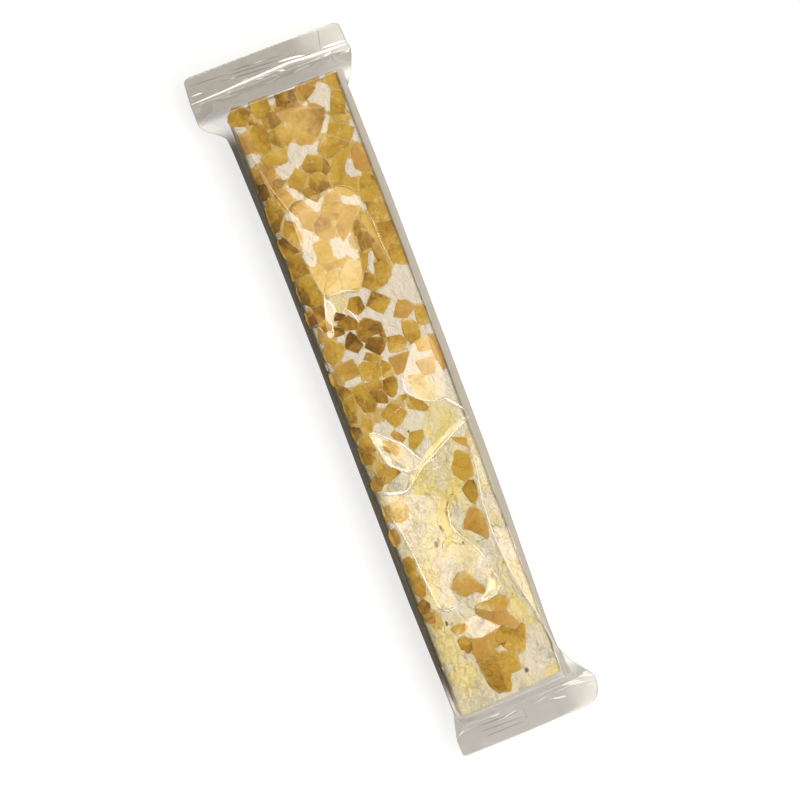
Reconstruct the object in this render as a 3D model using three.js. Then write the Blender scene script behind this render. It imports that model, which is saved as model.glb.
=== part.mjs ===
// A stick of soft nougat with candied lemon peel, sealed in a clear flow-wrap film.
// Millimetres, +Z up. X runs along the stick and Y across it. The pack lies on its broad face
// at z = 0, and its two crimped end fins stand clear of the surface, at about half its height.
import * as THREE from 'three';

const { clamp, lerp, smoothstep } = THREE.MathUtils;

// Driving dimensions of the pack
const PACK_LENGTH = 223;        // over both end fins
const STICK_LENGTH = 195;       // the nougat stick inside
const BODY_WIDTH = 37;          // film round the stick, across
const BODY_HEIGHT = 15;         // film round the stick, from the surface up
const BODY_CORNER = 4.5;        // radius of the film's four long edges
const FIN_THICKNESS = 0.7;
const FIN_HEIGHT = 8.5;         // middle of the fins above the surface
const FIN_BOW = 0.9;            // rise of a fin's middle over its two side edges
const RIB_PITCH = 1.5;          // crimp ribs, parallel to the end edges
const RIB_DEPTH = 0.5;
const EAR_FLARE = 1.3;          // power by which the film spreads to a fin, slowly at first
const END_ROUNDING = 1.5;       // how far before the stick's end its top edge starts to fall

// Each end, -X first: where its crimp begins, how much lower its -Y edge hangs than its +Y edge,
// and its two sides, with the place across of the fin's edge where the crimp begins and at the cut,
// the radius of the cut corner, and the length over which the film spreads to the fin
const ENDS = [
  {
    sealStart: 103.2,
    droop: 0.4,
    minusY: { sealEdge: -25.6, cutEdge: -25.2, corner: 2, earRun: 6.5 },
    plusY: { sealEdge: 23.4, cutEdge: 24.6, corner: 2.2, earRun: 6.5 },
  },
  {
    sealStart: 102,
    droop: 1.2,
    minusY: { sealEdge: -20.3, cutEdge: -21.1, corner: 0.8, earRun: 5 },
    plusY: { sealEdge: 25.6, cutEdge: 24.6, corner: 6, earRun: 15 },
  },
];

// Low relief of the loose film: how far its +Y side stands off the stick, with where that begins and
// ends along the pack, and the length of the waves along the pack and their height
const SIDE_SLACK = { depth: 1.1, from: -95, full: -75, fading: 30, to: 70 };
const SIDE_WAVE = { length: 61, height: 0.25 };
const SIDE_RIPPLE = { length: 23, height: 0.12 };
const TOP_WAVE = { length: 47, height: 0.2 };
const TOP_RIPPLE = { length: 17, height: 0.15 };
const FULL_TURN = 2 * Math.PI;

// How finely the surface is divided
const TOP_STEPS = 5;            // from the middle of a broad face to the long edge
const CORNER_STEPS = 5;
const SIDE_STEPS = 2;           // from the long edge to half height
const BODY_STATIONS = 32;
const EAR_STATIONS = [4, 8];    // at the -X end and at the +X end
const SLOPE_STATIONS = 5;

const halfPack = PACK_LENGTH / 2;
const halfStick = STICK_LENGTH / 2;

// A quarter of the film's way round the stick: half a broad face, one long edge, half a side
const topRun = BODY_WIDTH / 2 - BODY_CORNER;
const cornerRun = BODY_CORNER * Math.PI / 2;
const sideRun = BODY_HEIGHT / 2 - BODY_CORNER;
const quarterRun = topRun + cornerRun + sideRun;

// Distances along that quarter, from the middle of the broad face to the middle of the side
function quarterStops() {
  const stops = [];
  for (let k = 0; k < TOP_STEPS; k += 1) {
    stops.push(topRun * k / TOP_STEPS);
  }
  for (let k = 0; k < CORNER_STEPS; k += 1) {
    stops.push(topRun + cornerRun * k / CORNER_STEPS);
  }
  for (let k = 0; k <= SIDE_STEPS; k += 1) {
    stops.push(topRun + cornerRun + sideRun * k / SIDE_STEPS);
  }
  return stops;
}

// The film's place at one such distance: across from the middle and up from half height
function bodyPoint(run) {
  if (run <= topRun) {
    return { across: run, up: BODY_HEIGHT / 2 };
  }
  if (run < topRun + cornerRun) {
    const angle = (run - topRun) / BODY_CORNER;
    return {
      across: topRun + BODY_CORNER * Math.sin(angle),
      up: sideRun + BODY_CORNER * Math.cos(angle),
    };
  }
  return { across: BODY_WIDTH / 2, up: quarterRun - run };
}

// The whole way round in one turn: top to +Y side, underside, -Y side and back to the top
function sectionPoints() {
  const quarter = quarterStops();
  const last = quarter.length - 1;
  const turns = [
    { forward: true, across: 1, up: 1 },
    { forward: false, across: 1, up: -1 },
    { forward: true, across: -1, up: -1 },
    { forward: false, across: -1, up: 1 },
  ];
  const points = [];
  for (const turn of turns) {
    for (let k = 0; k < last; k += 1) {
      const run = quarter[turn.forward ? k : last - k];
      const body = bodyPoint(run);
      points.push({
        across: turn.across * body.across,
        up: turn.up * body.up,
        flat: turn.across * run / quarterRun,
        face: turn.up * (run < quarterRun ? 1 : 0),
      });
    }
  }
  return points;
}

function wave({ length, height }, x, shift) {
  return height * Math.sin(FULL_TURN * (x / length + shift));
}

// How far the loose +Y side stands off the stick
function slack(x) {
  const { depth, from, full, fading, to } = SIDE_SLACK;
  return depth * smoothstep(x, from, full) * (1 - smoothstep(x, fading, to));
}

// Place across of a fin's side edge, drawn in round the cut corner
function finEdge(reach, end, fin) {
  const alongFin = clamp((reach - end.sealStart) / (halfPack - end.sealStart), 0, 1);
  const intoCorner = clamp((reach - halfPack) / fin.corner + 1, 0, 1);
  const drawnIn = fin.corner * (1 - Math.sqrt(1 - intoCorner * intoCorner));
  const edge = lerp(fin.sealEdge, fin.cutEdge, alongFin);
  return edge - Math.sign(edge) * drawnIn;
}

// One point of the film: the rounded body far from the ends, spread into two ears and then
// pressed flat between the ribbed jaws towards each end
function filmPoint(x, point, ribSign) {
  const end = ENDS[x < 0 ? 0 : 1];
  const side = point.flat < 0 ? -1 : 1;
  const fin = side < 0 ? end.minusY : end.plusY;
  const reach = Math.abs(x);
  const spread = clamp((reach - halfStick) / fin.earRun + 1, 0, 1) ** EAR_FLARE;
  const slopeStart = halfStick - END_ROUNDING;
  const pressed = clamp((reach - slopeStart) / (end.sealStart - slopeStart), 0, 1);

  const onSide = side * smoothstep(Math.abs(point.flat), topRun / quarterRun, 1);
  const ripples = wave(SIDE_WAVE, x, 0.1 * side) + wave(SIDE_RIPPLE, x, 0.3 * side);
  const sideShift = onSide * (ripples + (side > 0 ? slack(x) : 0));
  const y = lerp(point.across + sideShift, Math.abs(point.flat) * finEdge(reach, end, fin), spread);

  const onTop = smoothstep(point.up, sideRun, BODY_HEIGHT / 2);
  const topShift = onTop * (wave(TOP_WAVE, x, point.flat) + wave(TOP_RIPPLE, x, 2 * point.flat));
  const bodyZ = BODY_HEIGHT / 2 + point.up + topShift;
  const bow = FIN_BOW * (0.5 - point.flat * point.flat);
  const droop = end.droop * point.flat / 2;
  const rib = ribSign * RIB_DEPTH / 2;
  const finZ = FIN_HEIGHT + bow + droop + rib + point.face * FIN_THICKNESS / 2;
  return [x, y, lerp(bodyZ, finZ, pressed)];
}

// Places along the pack where a section is drawn, with the crimp's ribs up and down by turns
function stations() {
  const places = [];
  const run = (from, to, steps, ribbed) => {
    for (let k = 0; k < steps; k += 1) {
      const ribSign = ribbed ? (k % 2 === 0 ? 1 : -1) : 0;
      places.push({ x: lerp(from, to, k / steps), ribSign });
    }
  };
  const [near, far] = ENDS;
  const nearEars = Math.max(near.minusY.earRun, near.plusY.earRun);
  const farEars = Math.max(far.minusY.earRun, far.plusY.earRun);
  const ribStations = (end) => 2 * Math.round((halfPack - end.sealStart) / RIB_PITCH);
  run(-halfPack, -near.sealStart, ribStations(near), true);
  run(-near.sealStart, -halfStick, SLOPE_STATIONS, false);
  run(-halfStick, nearEars - halfStick, EAR_STATIONS[0], false);
  run(nearEars - halfStick, halfStick - farEars, BODY_STATIONS, false);
  run(halfStick - farEars, halfStick, EAR_STATIONS[1], false);
  run(halfStick, far.sealStart, SLOPE_STATIONS, false);
  run(far.sealStart, halfPack, ribStations(far), true);
  places.push({ x: halfPack, ribSign: 1 });
  return places;
}

// Skins neighbouring sections together, and closes each end between its two film layers
function packGeometry() {
  const section = sectionPoints();
  const places = stations();
  const around = section.length;
  const quarter = around / 4;
  const positions = places.flatMap(
    ({ x, ribSign }) => section.flatMap((point) => filmPoint(x, point, ribSign)),
  );

  const triangles = [];
  const quad = (a, b, c, d) => triangles.push(a, b, c, a, c, d);
  for (let i = 0; i + 1 < places.length; i += 1) {
    for (let j = 0; j < around; j += 1) {
      const next = (j + 1) % around;
      const here = i * around;
      const beyond = here + around;
      quad(here + j, beyond + j, beyond + next, here + next);
    }
  }
  const lastRing = (places.length - 1) * around;
  for (let k = -quarter; k < quarter; k += 1) {
    const upper = (k + around) % around;
    const upperNext = (k + 1 + around) % around;
    const lower = 2 * quarter - k;
    const lowerNext = lower - 1;
    const closing = [upper, upperNext, lowerNext % around, lower % around];
    const corners = closing.filter((corner, at) => closing.indexOf(corner) === at);
    for (let at = 1; at + 1 < corners.length; at += 1) {
      triangles.push(corners[0], corners[at], corners[at + 1]);
      triangles.push(lastRing + corners[0], lastRing + corners[at + 1], lastRing + corners[at]);
    }
  }

  const geometry = new THREE.BufferGeometry();
  geometry.setAttribute('position', new THREE.Float32BufferAttribute(positions, 3));
  geometry.setIndex(triangles);
  geometry.computeVertexNormals();
  return geometry;
}

const wrappedStick = new THREE.MeshStandardMaterial({
  color: 0xdcb568,
  roughness: 0.22,
  metalness: 0,
});

const pack = new THREE.Group();
const filmWrappedBar = new THREE.Mesh(packGeometry(), wrappedStick);
filmWrappedBar.name = 'film_wrapped_bar';
pack.add(filmWrappedBar);

export default pack;
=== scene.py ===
import math
import random

import bpy
import numpy as np
from mathutils import Matrix, Vector


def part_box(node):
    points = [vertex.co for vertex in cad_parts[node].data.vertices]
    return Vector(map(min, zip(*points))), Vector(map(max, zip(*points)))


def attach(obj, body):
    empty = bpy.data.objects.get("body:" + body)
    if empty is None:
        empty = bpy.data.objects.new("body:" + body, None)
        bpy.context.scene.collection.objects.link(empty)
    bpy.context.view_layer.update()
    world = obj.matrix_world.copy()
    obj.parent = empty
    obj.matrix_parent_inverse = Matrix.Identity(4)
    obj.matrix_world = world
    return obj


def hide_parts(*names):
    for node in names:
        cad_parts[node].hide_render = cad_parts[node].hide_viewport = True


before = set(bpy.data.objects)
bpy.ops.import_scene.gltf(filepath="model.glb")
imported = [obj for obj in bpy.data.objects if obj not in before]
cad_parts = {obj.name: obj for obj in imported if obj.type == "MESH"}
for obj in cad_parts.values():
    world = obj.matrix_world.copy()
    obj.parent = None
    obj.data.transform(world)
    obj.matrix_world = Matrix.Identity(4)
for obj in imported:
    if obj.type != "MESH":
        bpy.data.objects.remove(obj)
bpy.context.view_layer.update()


# The nougat stick: soft aerated honey and egg-white nougat, off-white with pale lemon stains.
# It is sawn from a slab, so its long edges are worn round and its faces are crumbly and porous,
# most of all over the half that holds little peel.
MM = 0.001
STICK_LENGTH = 195 * MM
STICK_WIDTH = 34.6 * MM
STICK_FOOT = 0.6 * MM            # the film and its back seam lie under the stick
STICK_TOP = 14.0 * MM
PRESSED_TO = 14.6 * MM           # the film holds everything below this
STICK_EDGE = 1.0 * MM            # radius of its worn edges
STICK_GRAIN = 0.5 * MM           # size of the faces that carry its relief
STICK_TURN = math.radians(-0.35)  # it lies a little askew in its film
END_SKEW = -0.045                # the far end is sawn a little askew
CRUMBLY_FROM = 4 * MM            # along the stick: past here the faces are rougher
CRUMBLY_RUN = 20 * MM
# Relief of the faces: size of its lumps, how finely they break up, its height, the level that stays
# in place, and the part that carries it
RELIEF = [("swell", 17 * MM, 1, 0.6 * MM, 0.5, ""), ("grain", 1.8 * MM, 2, 0.25 * MM, 0.5, ""),
          ("crumbs", 4.5 * MM, 4, 1.0 * MM, 0.6, "crumbly")]


def use_only(piece):
    """Leaves one object selected and active."""
    bpy.ops.object.select_all(action="DESELECT")
    piece.select_set(True)
    bpy.context.view_layer.objects.active = piece


def finish_with(piece, kind, **settings):
    """Adds a modifier to a piece and applies it."""
    use_only(piece)
    modifier = piece.modifiers.new(kind.title(), kind)
    for name, value in settings.items():
        setattr(modifier, name, value)
    bpy.ops.object.modifier_apply(modifier=modifier.name)


def smooth_step(value, low, high):
    """0 below low and 1 above high, with a smooth way between. low may be the larger."""
    share = np.clip((value - low) / (high - low), 0, 1)
    return share * share * (3 - 2 * share)


bpy.ops.object.select_all(action="DESELECT")
bpy.ops.mesh.primitive_cube_add(size=1, location=(0, 0, (STICK_FOOT + STICK_TOP) / 2))
stick = bpy.context.object
stick.name = "nougat_stick"
stick.scale = (STICK_LENGTH, STICK_WIDTH, STICK_TOP - STICK_FOOT)
stick.rotation_euler.z = STICK_TURN
bpy.ops.object.transform_apply(location=True, rotation=True, scale=True)
for vertex in stick.data.vertices:
    if vertex.co.x > 0:
        vertex.co.x += END_SKEW * vertex.co.y
bpy.ops.object.mode_set(mode="EDIT")
bpy.ops.mesh.select_all(action="SELECT")
bpy.ops.mesh.bevel(offset=STICK_EDGE, segments=4)
bpy.ops.object.mode_set(mode="OBJECT")
finish_with(stick, "REMESH", mode="VOXEL", voxel_size=STICK_GRAIN)

crumbly = stick.vertex_groups.new(name="crumbly")
for vertex in stick.data.vertices:
    roughness = float(smooth_step(vertex.co.x, CRUMBLY_FROM, CRUMBLY_FROM + CRUMBLY_RUN))
    crumbly.add([vertex.index], roughness, "REPLACE")
for name, size, fineness, height, level, carrier in RELIEF:
    texture = bpy.data.textures.new(name, "CLOUDS")
    texture.noise_scale = size
    texture.noise_depth = fineness
    finish_with(stick, "DISPLACE", texture=texture, texture_coords="LOCAL", strength=height,
                mid_level=level, vertex_group=carrier)
for vertex in stick.data.vertices:
    vertex.co.z = min(vertex.co.z, PRESSED_TO)
bpy.ops.object.shade_smooth()


class Wire:
    """A shader node's output. Sums on it add Math nodes, and add() makes any other node."""

    def __init__(self, tree, node=None, output=0):
        self.tree = tree
        self.node = node
        self.output = output

    @property
    def socket(self):
        return self.node.outputs[self.output]

    def add(self, kind, settings=None, inputs=None, output=0):
        node = self.tree.nodes.new("ShaderNode" + kind)
        for name, value in (settings or {}).items():
            if name == "stops":
                spare = node.color_ramp.elements
                while len(spare) < len(value):
                    spare.new(1.0)
                for element, (place, colour) in zip(spare, value):
                    element.position = place
                    element.color = (*colour, 1)
            else:
                setattr(node, name, value)
        for name, value in (inputs or {}).items():
            if isinstance(value, Wire):
                self.tree.links.new(value.socket, node.inputs[name])
            else:
                node.inputs[name].default_value = value
        return Wire(self.tree, node, output)

    def out(self, output):
        return Wire(self.tree, self.node, output)

    def math(self, operation, *values):
        return self.add("Math", {"operation": operation}, dict(enumerate(values)))

    def __add__(self, other):
        return self.math("ADD", self, other)

    __radd__ = __add__

    def __sub__(self, other):
        return self.math("SUBTRACT", self, other)

    def __rsub__(self, other):
        return self.math("SUBTRACT", other, self)

    def __mul__(self, other):
        return self.math("MULTIPLY", self, other)

    __rmul__ = __mul__

    def __truediv__(self, other):
        return self.math("DIVIDE", self, other)

    def __pow__(self, other):
        return self.math("POWER", self, other)

    def __abs__(self):
        return self.math("ABSOLUTE", self)

    def at_least(self, other):
        return self.math("MAXIMUM", self, other)

    def at_most(self, other):
        return self.math("MINIMUM", self, other)

    def split(self):
        return self.add("SeparateXYZ", {}, {0: self})

    def stored(self, name, output="Fac"):
        """What is stored under a name on the points of the piece."""
        return self.add("Attribute", {"attribute_name": name}, {}, output)

    def rise(self, low, high):
        """0 below low and 1 above high, with a smooth way between. low may be the larger."""
        return self.add("MapRange", {"interpolation_type": "SMOOTHSTEP"},
                        {"Value": self, "From Min": low, "From Max": high})

    def noise(self, size, detail=3, roughness=0.55, distortion=0.0):
        """Cloudy values round 0.5 over this place, with patches of a given size."""
        return self.add("TexNoise", {}, {"Vector": self, "Scale": 1 / size, "Detail": detail,
                                         "Roughness": roughness, "Distortion": distortion})

    def mixed(self, share, first, second):
        """A colour between two, by a share."""
        return self.add("Mix", {"data_type": "RGBA"}, {0: share, 6: first, 7: second}, 2)

    def tint(self, share, other):
        """This colour changed to another by a share."""
        return self.mixed(share, self, other)


def new_finish(name):
    """An empty material and the start of its node tree."""
    material = bpy.data.materials.new(name)
    material.use_nodes = True
    material.node_tree.nodes.clear()
    return material, Wire(material.node_tree)


NOUGAT_WHITE = (0.81, 0.725, 0.59, 1)
NOUGAT_CREAM = (0.78, 0.69, 0.47, 1)
NOUGAT_GREY = (0.735, 0.665, 0.54, 1)
NOUGAT_HOLLOW_SHADE = (0.60, 0.50, 0.34, 1)
FLAKE_WHITE = (0.88, 0.82, 0.66, 1)
FLAKE_YELLOW = (0.82, 0.70, 0.33, 1)
FLAKE_RIM_SHADE = (0.64, 0.52, 0.22, 1)
LUMP_CREASE_SHADE = (0.60, 0.43, 0.11, 1)
LEMON_STAIN = (0.86, 0.69, 0.22, 1)
CRUMB_YELLOW = (0.90, 0.745, 0.285, 1)
SYRUP = (0.60, 0.40, 0.085, 1)
DARK_FLECK = (0.05, 0.035, 0.02, 1)
CRACK_BROWN = (0.36, 0.24, 0.09, 1)
LUMP_SIZE = 2.8 * MM             # of the crumbs where the nougat is cracked
FLAKE_SIZE = 6.5 * MM            # of the pressed flakes on the rougher part
# Lemon stains on the broad face: middle along and across, half length and half width
STAINS = [(25, -2, 5, 5), (33, 5, 8, 4), (9, 10, 6, 4), (74, 10, 6, 4),
          (-34, -6, 4, 3), (0, 8, 5, 4), (55, -12, 8, 3), (96, 14, 4, 3)]
# Where the nougat is cracked into lemon-yellow crumbs, and where it is whitest
CRUMBLED = [(76, -13.5, 9, 4.5), (86, -12, 6, 5), (70, -14, 4, 3)]
CRACKED = CRUMBLED + [(93, -9, 5, 8)]
WHITEST = [(73, -2, 5, 4.5), (31, -6, 5, 3.5), (38, 4, 4, 2), (89, 11, 5, 4),
           (-31, 13.5, 6, 4), (-86, -4, 9, 8), (-78, 8, 6, 6), (-8, 14, 8, 4)]
# Dark specks of vanilla and peel: middle along and across, half length, half width
FLECKS = [(68.3, -11.4, 1.0, 0.5), (91.6, 6.4, 0.9, 0.7), (44.3, -5.6, 1.1, 0.7),
          (40, -2.6, 0.9, 0.4), (9, -1.1, 0.5, 0.4), (47, 2.2, 0.7, 0.4)]
# Lemon-yellow streaks: half width, strength, and along and across of their points, in millimetres
STREAKS = [
    (2.2, 1.2, (28.7, 8.4), (31.2, 5.5), (32.9, 2.5), (35.3, 0.3), (38.3, -0.5), (41, -0.3)),
    (1.2, 0.7, (27.3, -5.5), (28, -3.1), (28, -0.5), (29.9, 0.8), (33.1, 0.5)),
    (1.2, 0.8, (35.8, -0.2), (37.8, -1.6), (40.4, -1.7), (42.9, -0.6), (44.9, -2.1)),
    (2.0, 0.7, (9, 12), (14, 7), (19, 2), (24, -5)), (1.5, 0.7, (67, 10.5), (73, 11.5), (79, 14)),
    (1.6, 0.6, (4, 8), (9, 5), (13, 4.5)), (1.5, 0.5, (47, -9), (52, -8), (55, -9.5)),
]
# Cracks, drawn as dark brown lines: along and across of their points
CRACKS = [
    [(31.1, 5.2), (32.6, 3.3), (34.3, 1.8), (36.1, 0.7), (38, 0.6), (39.8, 0.7), (40.7, 0.5)],
    [(45.3, -1.1), (46.4, 0.3), (47.5, 1.7)], [(48.4, 6.2), (48.4, 7.1), (48.3, 8.5)],
    [(42.7, -4.5), (43.9, -4.5), (45, -5.1), (45, -6.7), (44.9, -8.3)],
    [(39.3, -2.7), (40.4, -2.5), (41.4, -2.2)], [(86.7, -6.7), (89.1, -5.4), (92.5, -4.5)],
]


def to_line(points, x, y):
    """How far places lie from a line through points."""
    away = np.full(len(x), np.inf)
    for (x0, y0), (x1, y1) in zip(points[:-1], points[1:]):
        run_x, run_y = x1 - x0, y1 - y0
        share = np.clip(((x - x0) * run_x + (y - y0) * run_y) / (run_x ** 2 + run_y ** 2), 0, 1)
        away = np.minimum(away, np.hypot(x - x0 - share * run_x, y - y0 - share * run_y))
    return away


def point_values(piece, name, values):
    """Stores one number for each point of a piece, for its material to read."""
    attribute = piece.data.attributes.new(name, "FLOAT", "POINT")
    attribute.data.foreach_set("value", values)


places = np.empty(len(stick.data.vertices) * 3)
stick.data.vertices.foreach_get("co", places)
x, y, z = places.reshape(-1, 3).T
on_top = z > (STICK_FOOT + STICK_TOP) / 2
lemon = np.zeros(len(x))
for streak_width, strength, *line in STREAKS:
    away = to_line(np.array(line) * MM, x, y)
    lemon = np.maximum(lemon, strength * (1 - smooth_step(away, 0, 1.6 * streak_width * MM)))
point_values(stick, "lemon", lemon * on_top)
from_crack = np.min([to_line(np.array(line) * MM, x, y) for line in CRACKS], axis=0)
point_values(stick, "from_crack", np.where(on_top, np.minimum(from_crack / MM, 5), 5))


def spots(place, across_noise, shapes, edge):
    """A mask of uneven oval spots on the broad face, from 0 to 1."""
    parts = place.split()
    total = 0
    for along, across, half_length, half_width in shapes:
        far_x = (parts.out("X") - along * MM) / (half_length * MM)
        far_y = (parts.out("Y") - across * MM) / (half_width * MM)
        reach = (far_x * far_x + far_y * far_y) ** 0.5 + (across_noise - 0.5) * edge
        total = total + reach.rise(1.15, 0.55)
    return total.at_most(1.0)


def drifted(place, noise, reach):
    """A place moved about by a cloudy noise, so that a pattern on it has no straight edges."""
    return place.add("VectorMath", {"operation": "MULTIPLY_ADD"},
                     {0: noise.out("Color"), 1: (reach, reach, reach), 2: place})


nougat, start = new_finish("nougat")
place = start.add("TexCoord", output="Object")
parts = place.split()
rough_half = parts.out("X").rise(CRUMBLY_FROM - CRUMBLY_RUN / 2, CRUMBLY_FROM + CRUMBLY_RUN)
far_end = parts.out("X").rise(60 * MM, 80 * MM)
swirl = place.noise(9 * MM, 4, 0.6, 1.6)
patchy = place.noise(3.2 * MM, 4, 0.6, 0.8)
crumb = place.noise(1.4 * MM, 4, 0.65)
fine = place.noise(0.5 * MM, 3, 0.6)
crumbled = spots(place, patchy, CRUMBLED, 1.5)
cracked = spots(place, patchy, CRACKED, 1.5)
lump_edge = place.add("TexVoronoi", {"feature": "DISTANCE_TO_EDGE"}, {
    "Vector": drifted(place, patchy, 1.4 * MM), "Scale": 1 / LUMP_SIZE})
crease = lump_edge.rise(0.10, 0.0) * cracked
lumps = lump_edge.rise(0.0, 0.4) * cracked
flake_place = drifted(place, patchy, 6 * MM)
flakes = place.add("TexVoronoi", {"feature": "SMOOTH_F1"}, {
    "Vector": flake_place, "Scale": 1 / FLAKE_SIZE, "Smoothness": 0.25}, "Color")
flake = flakes.split()
flake_rim = place.add("TexVoronoi", {"feature": "DISTANCE_TO_EDGE"}, {
    "Vector": flake_place, "Scale": 1 / FLAKE_SIZE}).rise(0.09, 0.0)
flaky = rough_half * (1 - 0.7 * far_end)
folds = abs(place.noise(6 * MM, 4, 0.6, 2.5) - 0.5)
scratch = folds.rise(0.016, 0.003) * rough_half * patchy.rise(0.50, 0.60)
pore_shade = crumb.rise(0.42, 0.27) * (0.4 - 0.1 * rough_half)
soaked = start.stored("soaked") + (crumb - 0.5) * 1.6 + (fine - 0.5) * 0.6
creamy = rough_half * (0.35 + 0.65 * swirl.rise(0.36, 0.58))
colour = start.mixed(creamy, NOUGAT_WHITE, NOUGAT_CREAM)
colour = colour.tint((0.2 + 0.3 * far_end) * patchy.rise(0.46, 0.66), NOUGAT_GREY)
colour = colour.tint(swirl.rise(0.50, 0.66) * rough_half * (0.75 - 0.65 * far_end), LEMON_STAIN)
colour = colour.tint(flake.out("X").rise(0.35, 0.75) * flaky * 0.7, FLAKE_WHITE)
colour = colour.tint(flake.out("Y").rise(0.5, 0.85) * flaky * 0.55, FLAKE_YELLOW)
# Painted shade along the sunk rims of the flakes.
colour = colour.tint(flake_rim * patchy.rise(0.5, 0.66) * flaky * 0.45, FLAKE_RIM_SHADE)
stained = spots(place, patchy, STAINS, 1.5) * 0.6
colour = colour.tint(stained, LEMON_STAIN).tint(crumbled * 0.8, CRUMB_YELLOW)
# Painted shade in the sunk creases between the crumbs.
colour = colour.tint(crease * (0.05 + 0.55 * crumb), LUMP_CREASE_SHADE)
colour = colour.tint(spots(place, patchy, WHITEST, 1.5) * (0.4 + 0.6 * patchy), NOUGAT_WHITE)
streak = start.stored("lemon") + (patchy - 0.5) * 1.2
colour = colour.tint(streak.rise(0.25, 0.75) * 0.9, LEMON_STAIN)
from_crack = start.stored("from_crack") + (crumb - 0.5) * 1.2
split = from_crack.rise(0.45, 0.1)
colour = colour.tint(split * 0.75, CRACK_BROWN)
# Painted shade: the pores and scratches, sunk in the relief, are darkened towards a hollow colour.
painted_hollow_shade = pore_shade + 0.25 * scratch
colour = colour.tint(painted_hollow_shade.at_most(0.8), NOUGAT_HOLLOW_SHADE)
colour = colour.tint(soaked.rise(0.35, 0.65) * 0.9, SYRUP)
colour = colour.tint(spots(place, fine, FLECKS, 1.6) * 0.85, DARK_FLECK)
relief = crumb * (0.85 - 0.3 * rough_half) + fine * 0.25 + patchy * (1.3 - 0.4 * rough_half)
relief = relief + 0.45 * lumps - scratch * 0.2
relief = relief + flake.out("Z") * flaky * 0.6 - flake_rim * flaky * 0.15
relief = relief - folds.rise(0.06, 0.0) * rough_half * 0.12
bump = start.add("Bump", {}, {"Height": relief, "Strength": 1.0, "Distance": 0.8 * MM})
surface = start.add("BsdfPrincipled", {}, {
    "Base Color": colour, "Roughness": 0.5 + 0.3 * patchy, "Normal": bump,
    "Subsurface Weight": 0.2, "Subsurface Radius": (0.9, 0.7, 0.4), "Subsurface Scale": 1.2 * MM})
start.add("OutputMaterial", {}, {"Surface": surface})
stick.data.materials.append(nougat)
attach(stick, "root")


# The candied lemon peel: sugar-soaked peel cut by knife into cubes and slabs, amber and half clear.
# The pieces were folded into the warm nougat, so they lie flush in every face of the stick, crowded
# over the first part of its length and few further on, where some large ones lie together.
PEEL_SEED = 7
PEEL_DEPTH = (3.0 * MM, 5.0 * MM)
PEEL_PROUD = (0.04 * MM, 0.16 * MM)      # how far a piece stands out of the nougat
PEEL_TILT = math.radians(2)
PRESSED_FROM = 0.45 * MM                 # the film holds everything above this
FACE_LUMP = 0.015 * MM                   # how uneven a piece's face is
EDGE_STEP = 1.0 * MM                     # between the points of a piece's uneven outline
PEEL_GROW = 0.45 * MM                    # how far a piece reaches under the nougat that laps its edge
EDGE_WAVER = 0.12 * MM                   # how uneven its outline is
PEEL_FADE = 0.14                         # change of tone across a piece
# Random pieces, for the faces that lie hidden: length in millimetres, width as a share of it, tone, the
# places of the corners as shares of a true oblong's, and the odds and the size of a cut-off corner
LOOSE_SIZE = (4.0, 9.0)
LOOSE_WIDTH = (0.6, 0.95)
LOOSE_TONE = (0.3, 0.8)
CORNER_PLACE = (0.78, 1.08)
CORNER_REACH = 0.72                      # of the furthest corner, as a share of the length
CORNER_CUT = 0.35
CUT_ODDS = 8                             # four of them cut off one of the four corners
CLOSEST = 0.42                           # of two pieces, as a share of their lengths together
FEW = 0.12                               # how thick they lie past the first part of the stick
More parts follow.
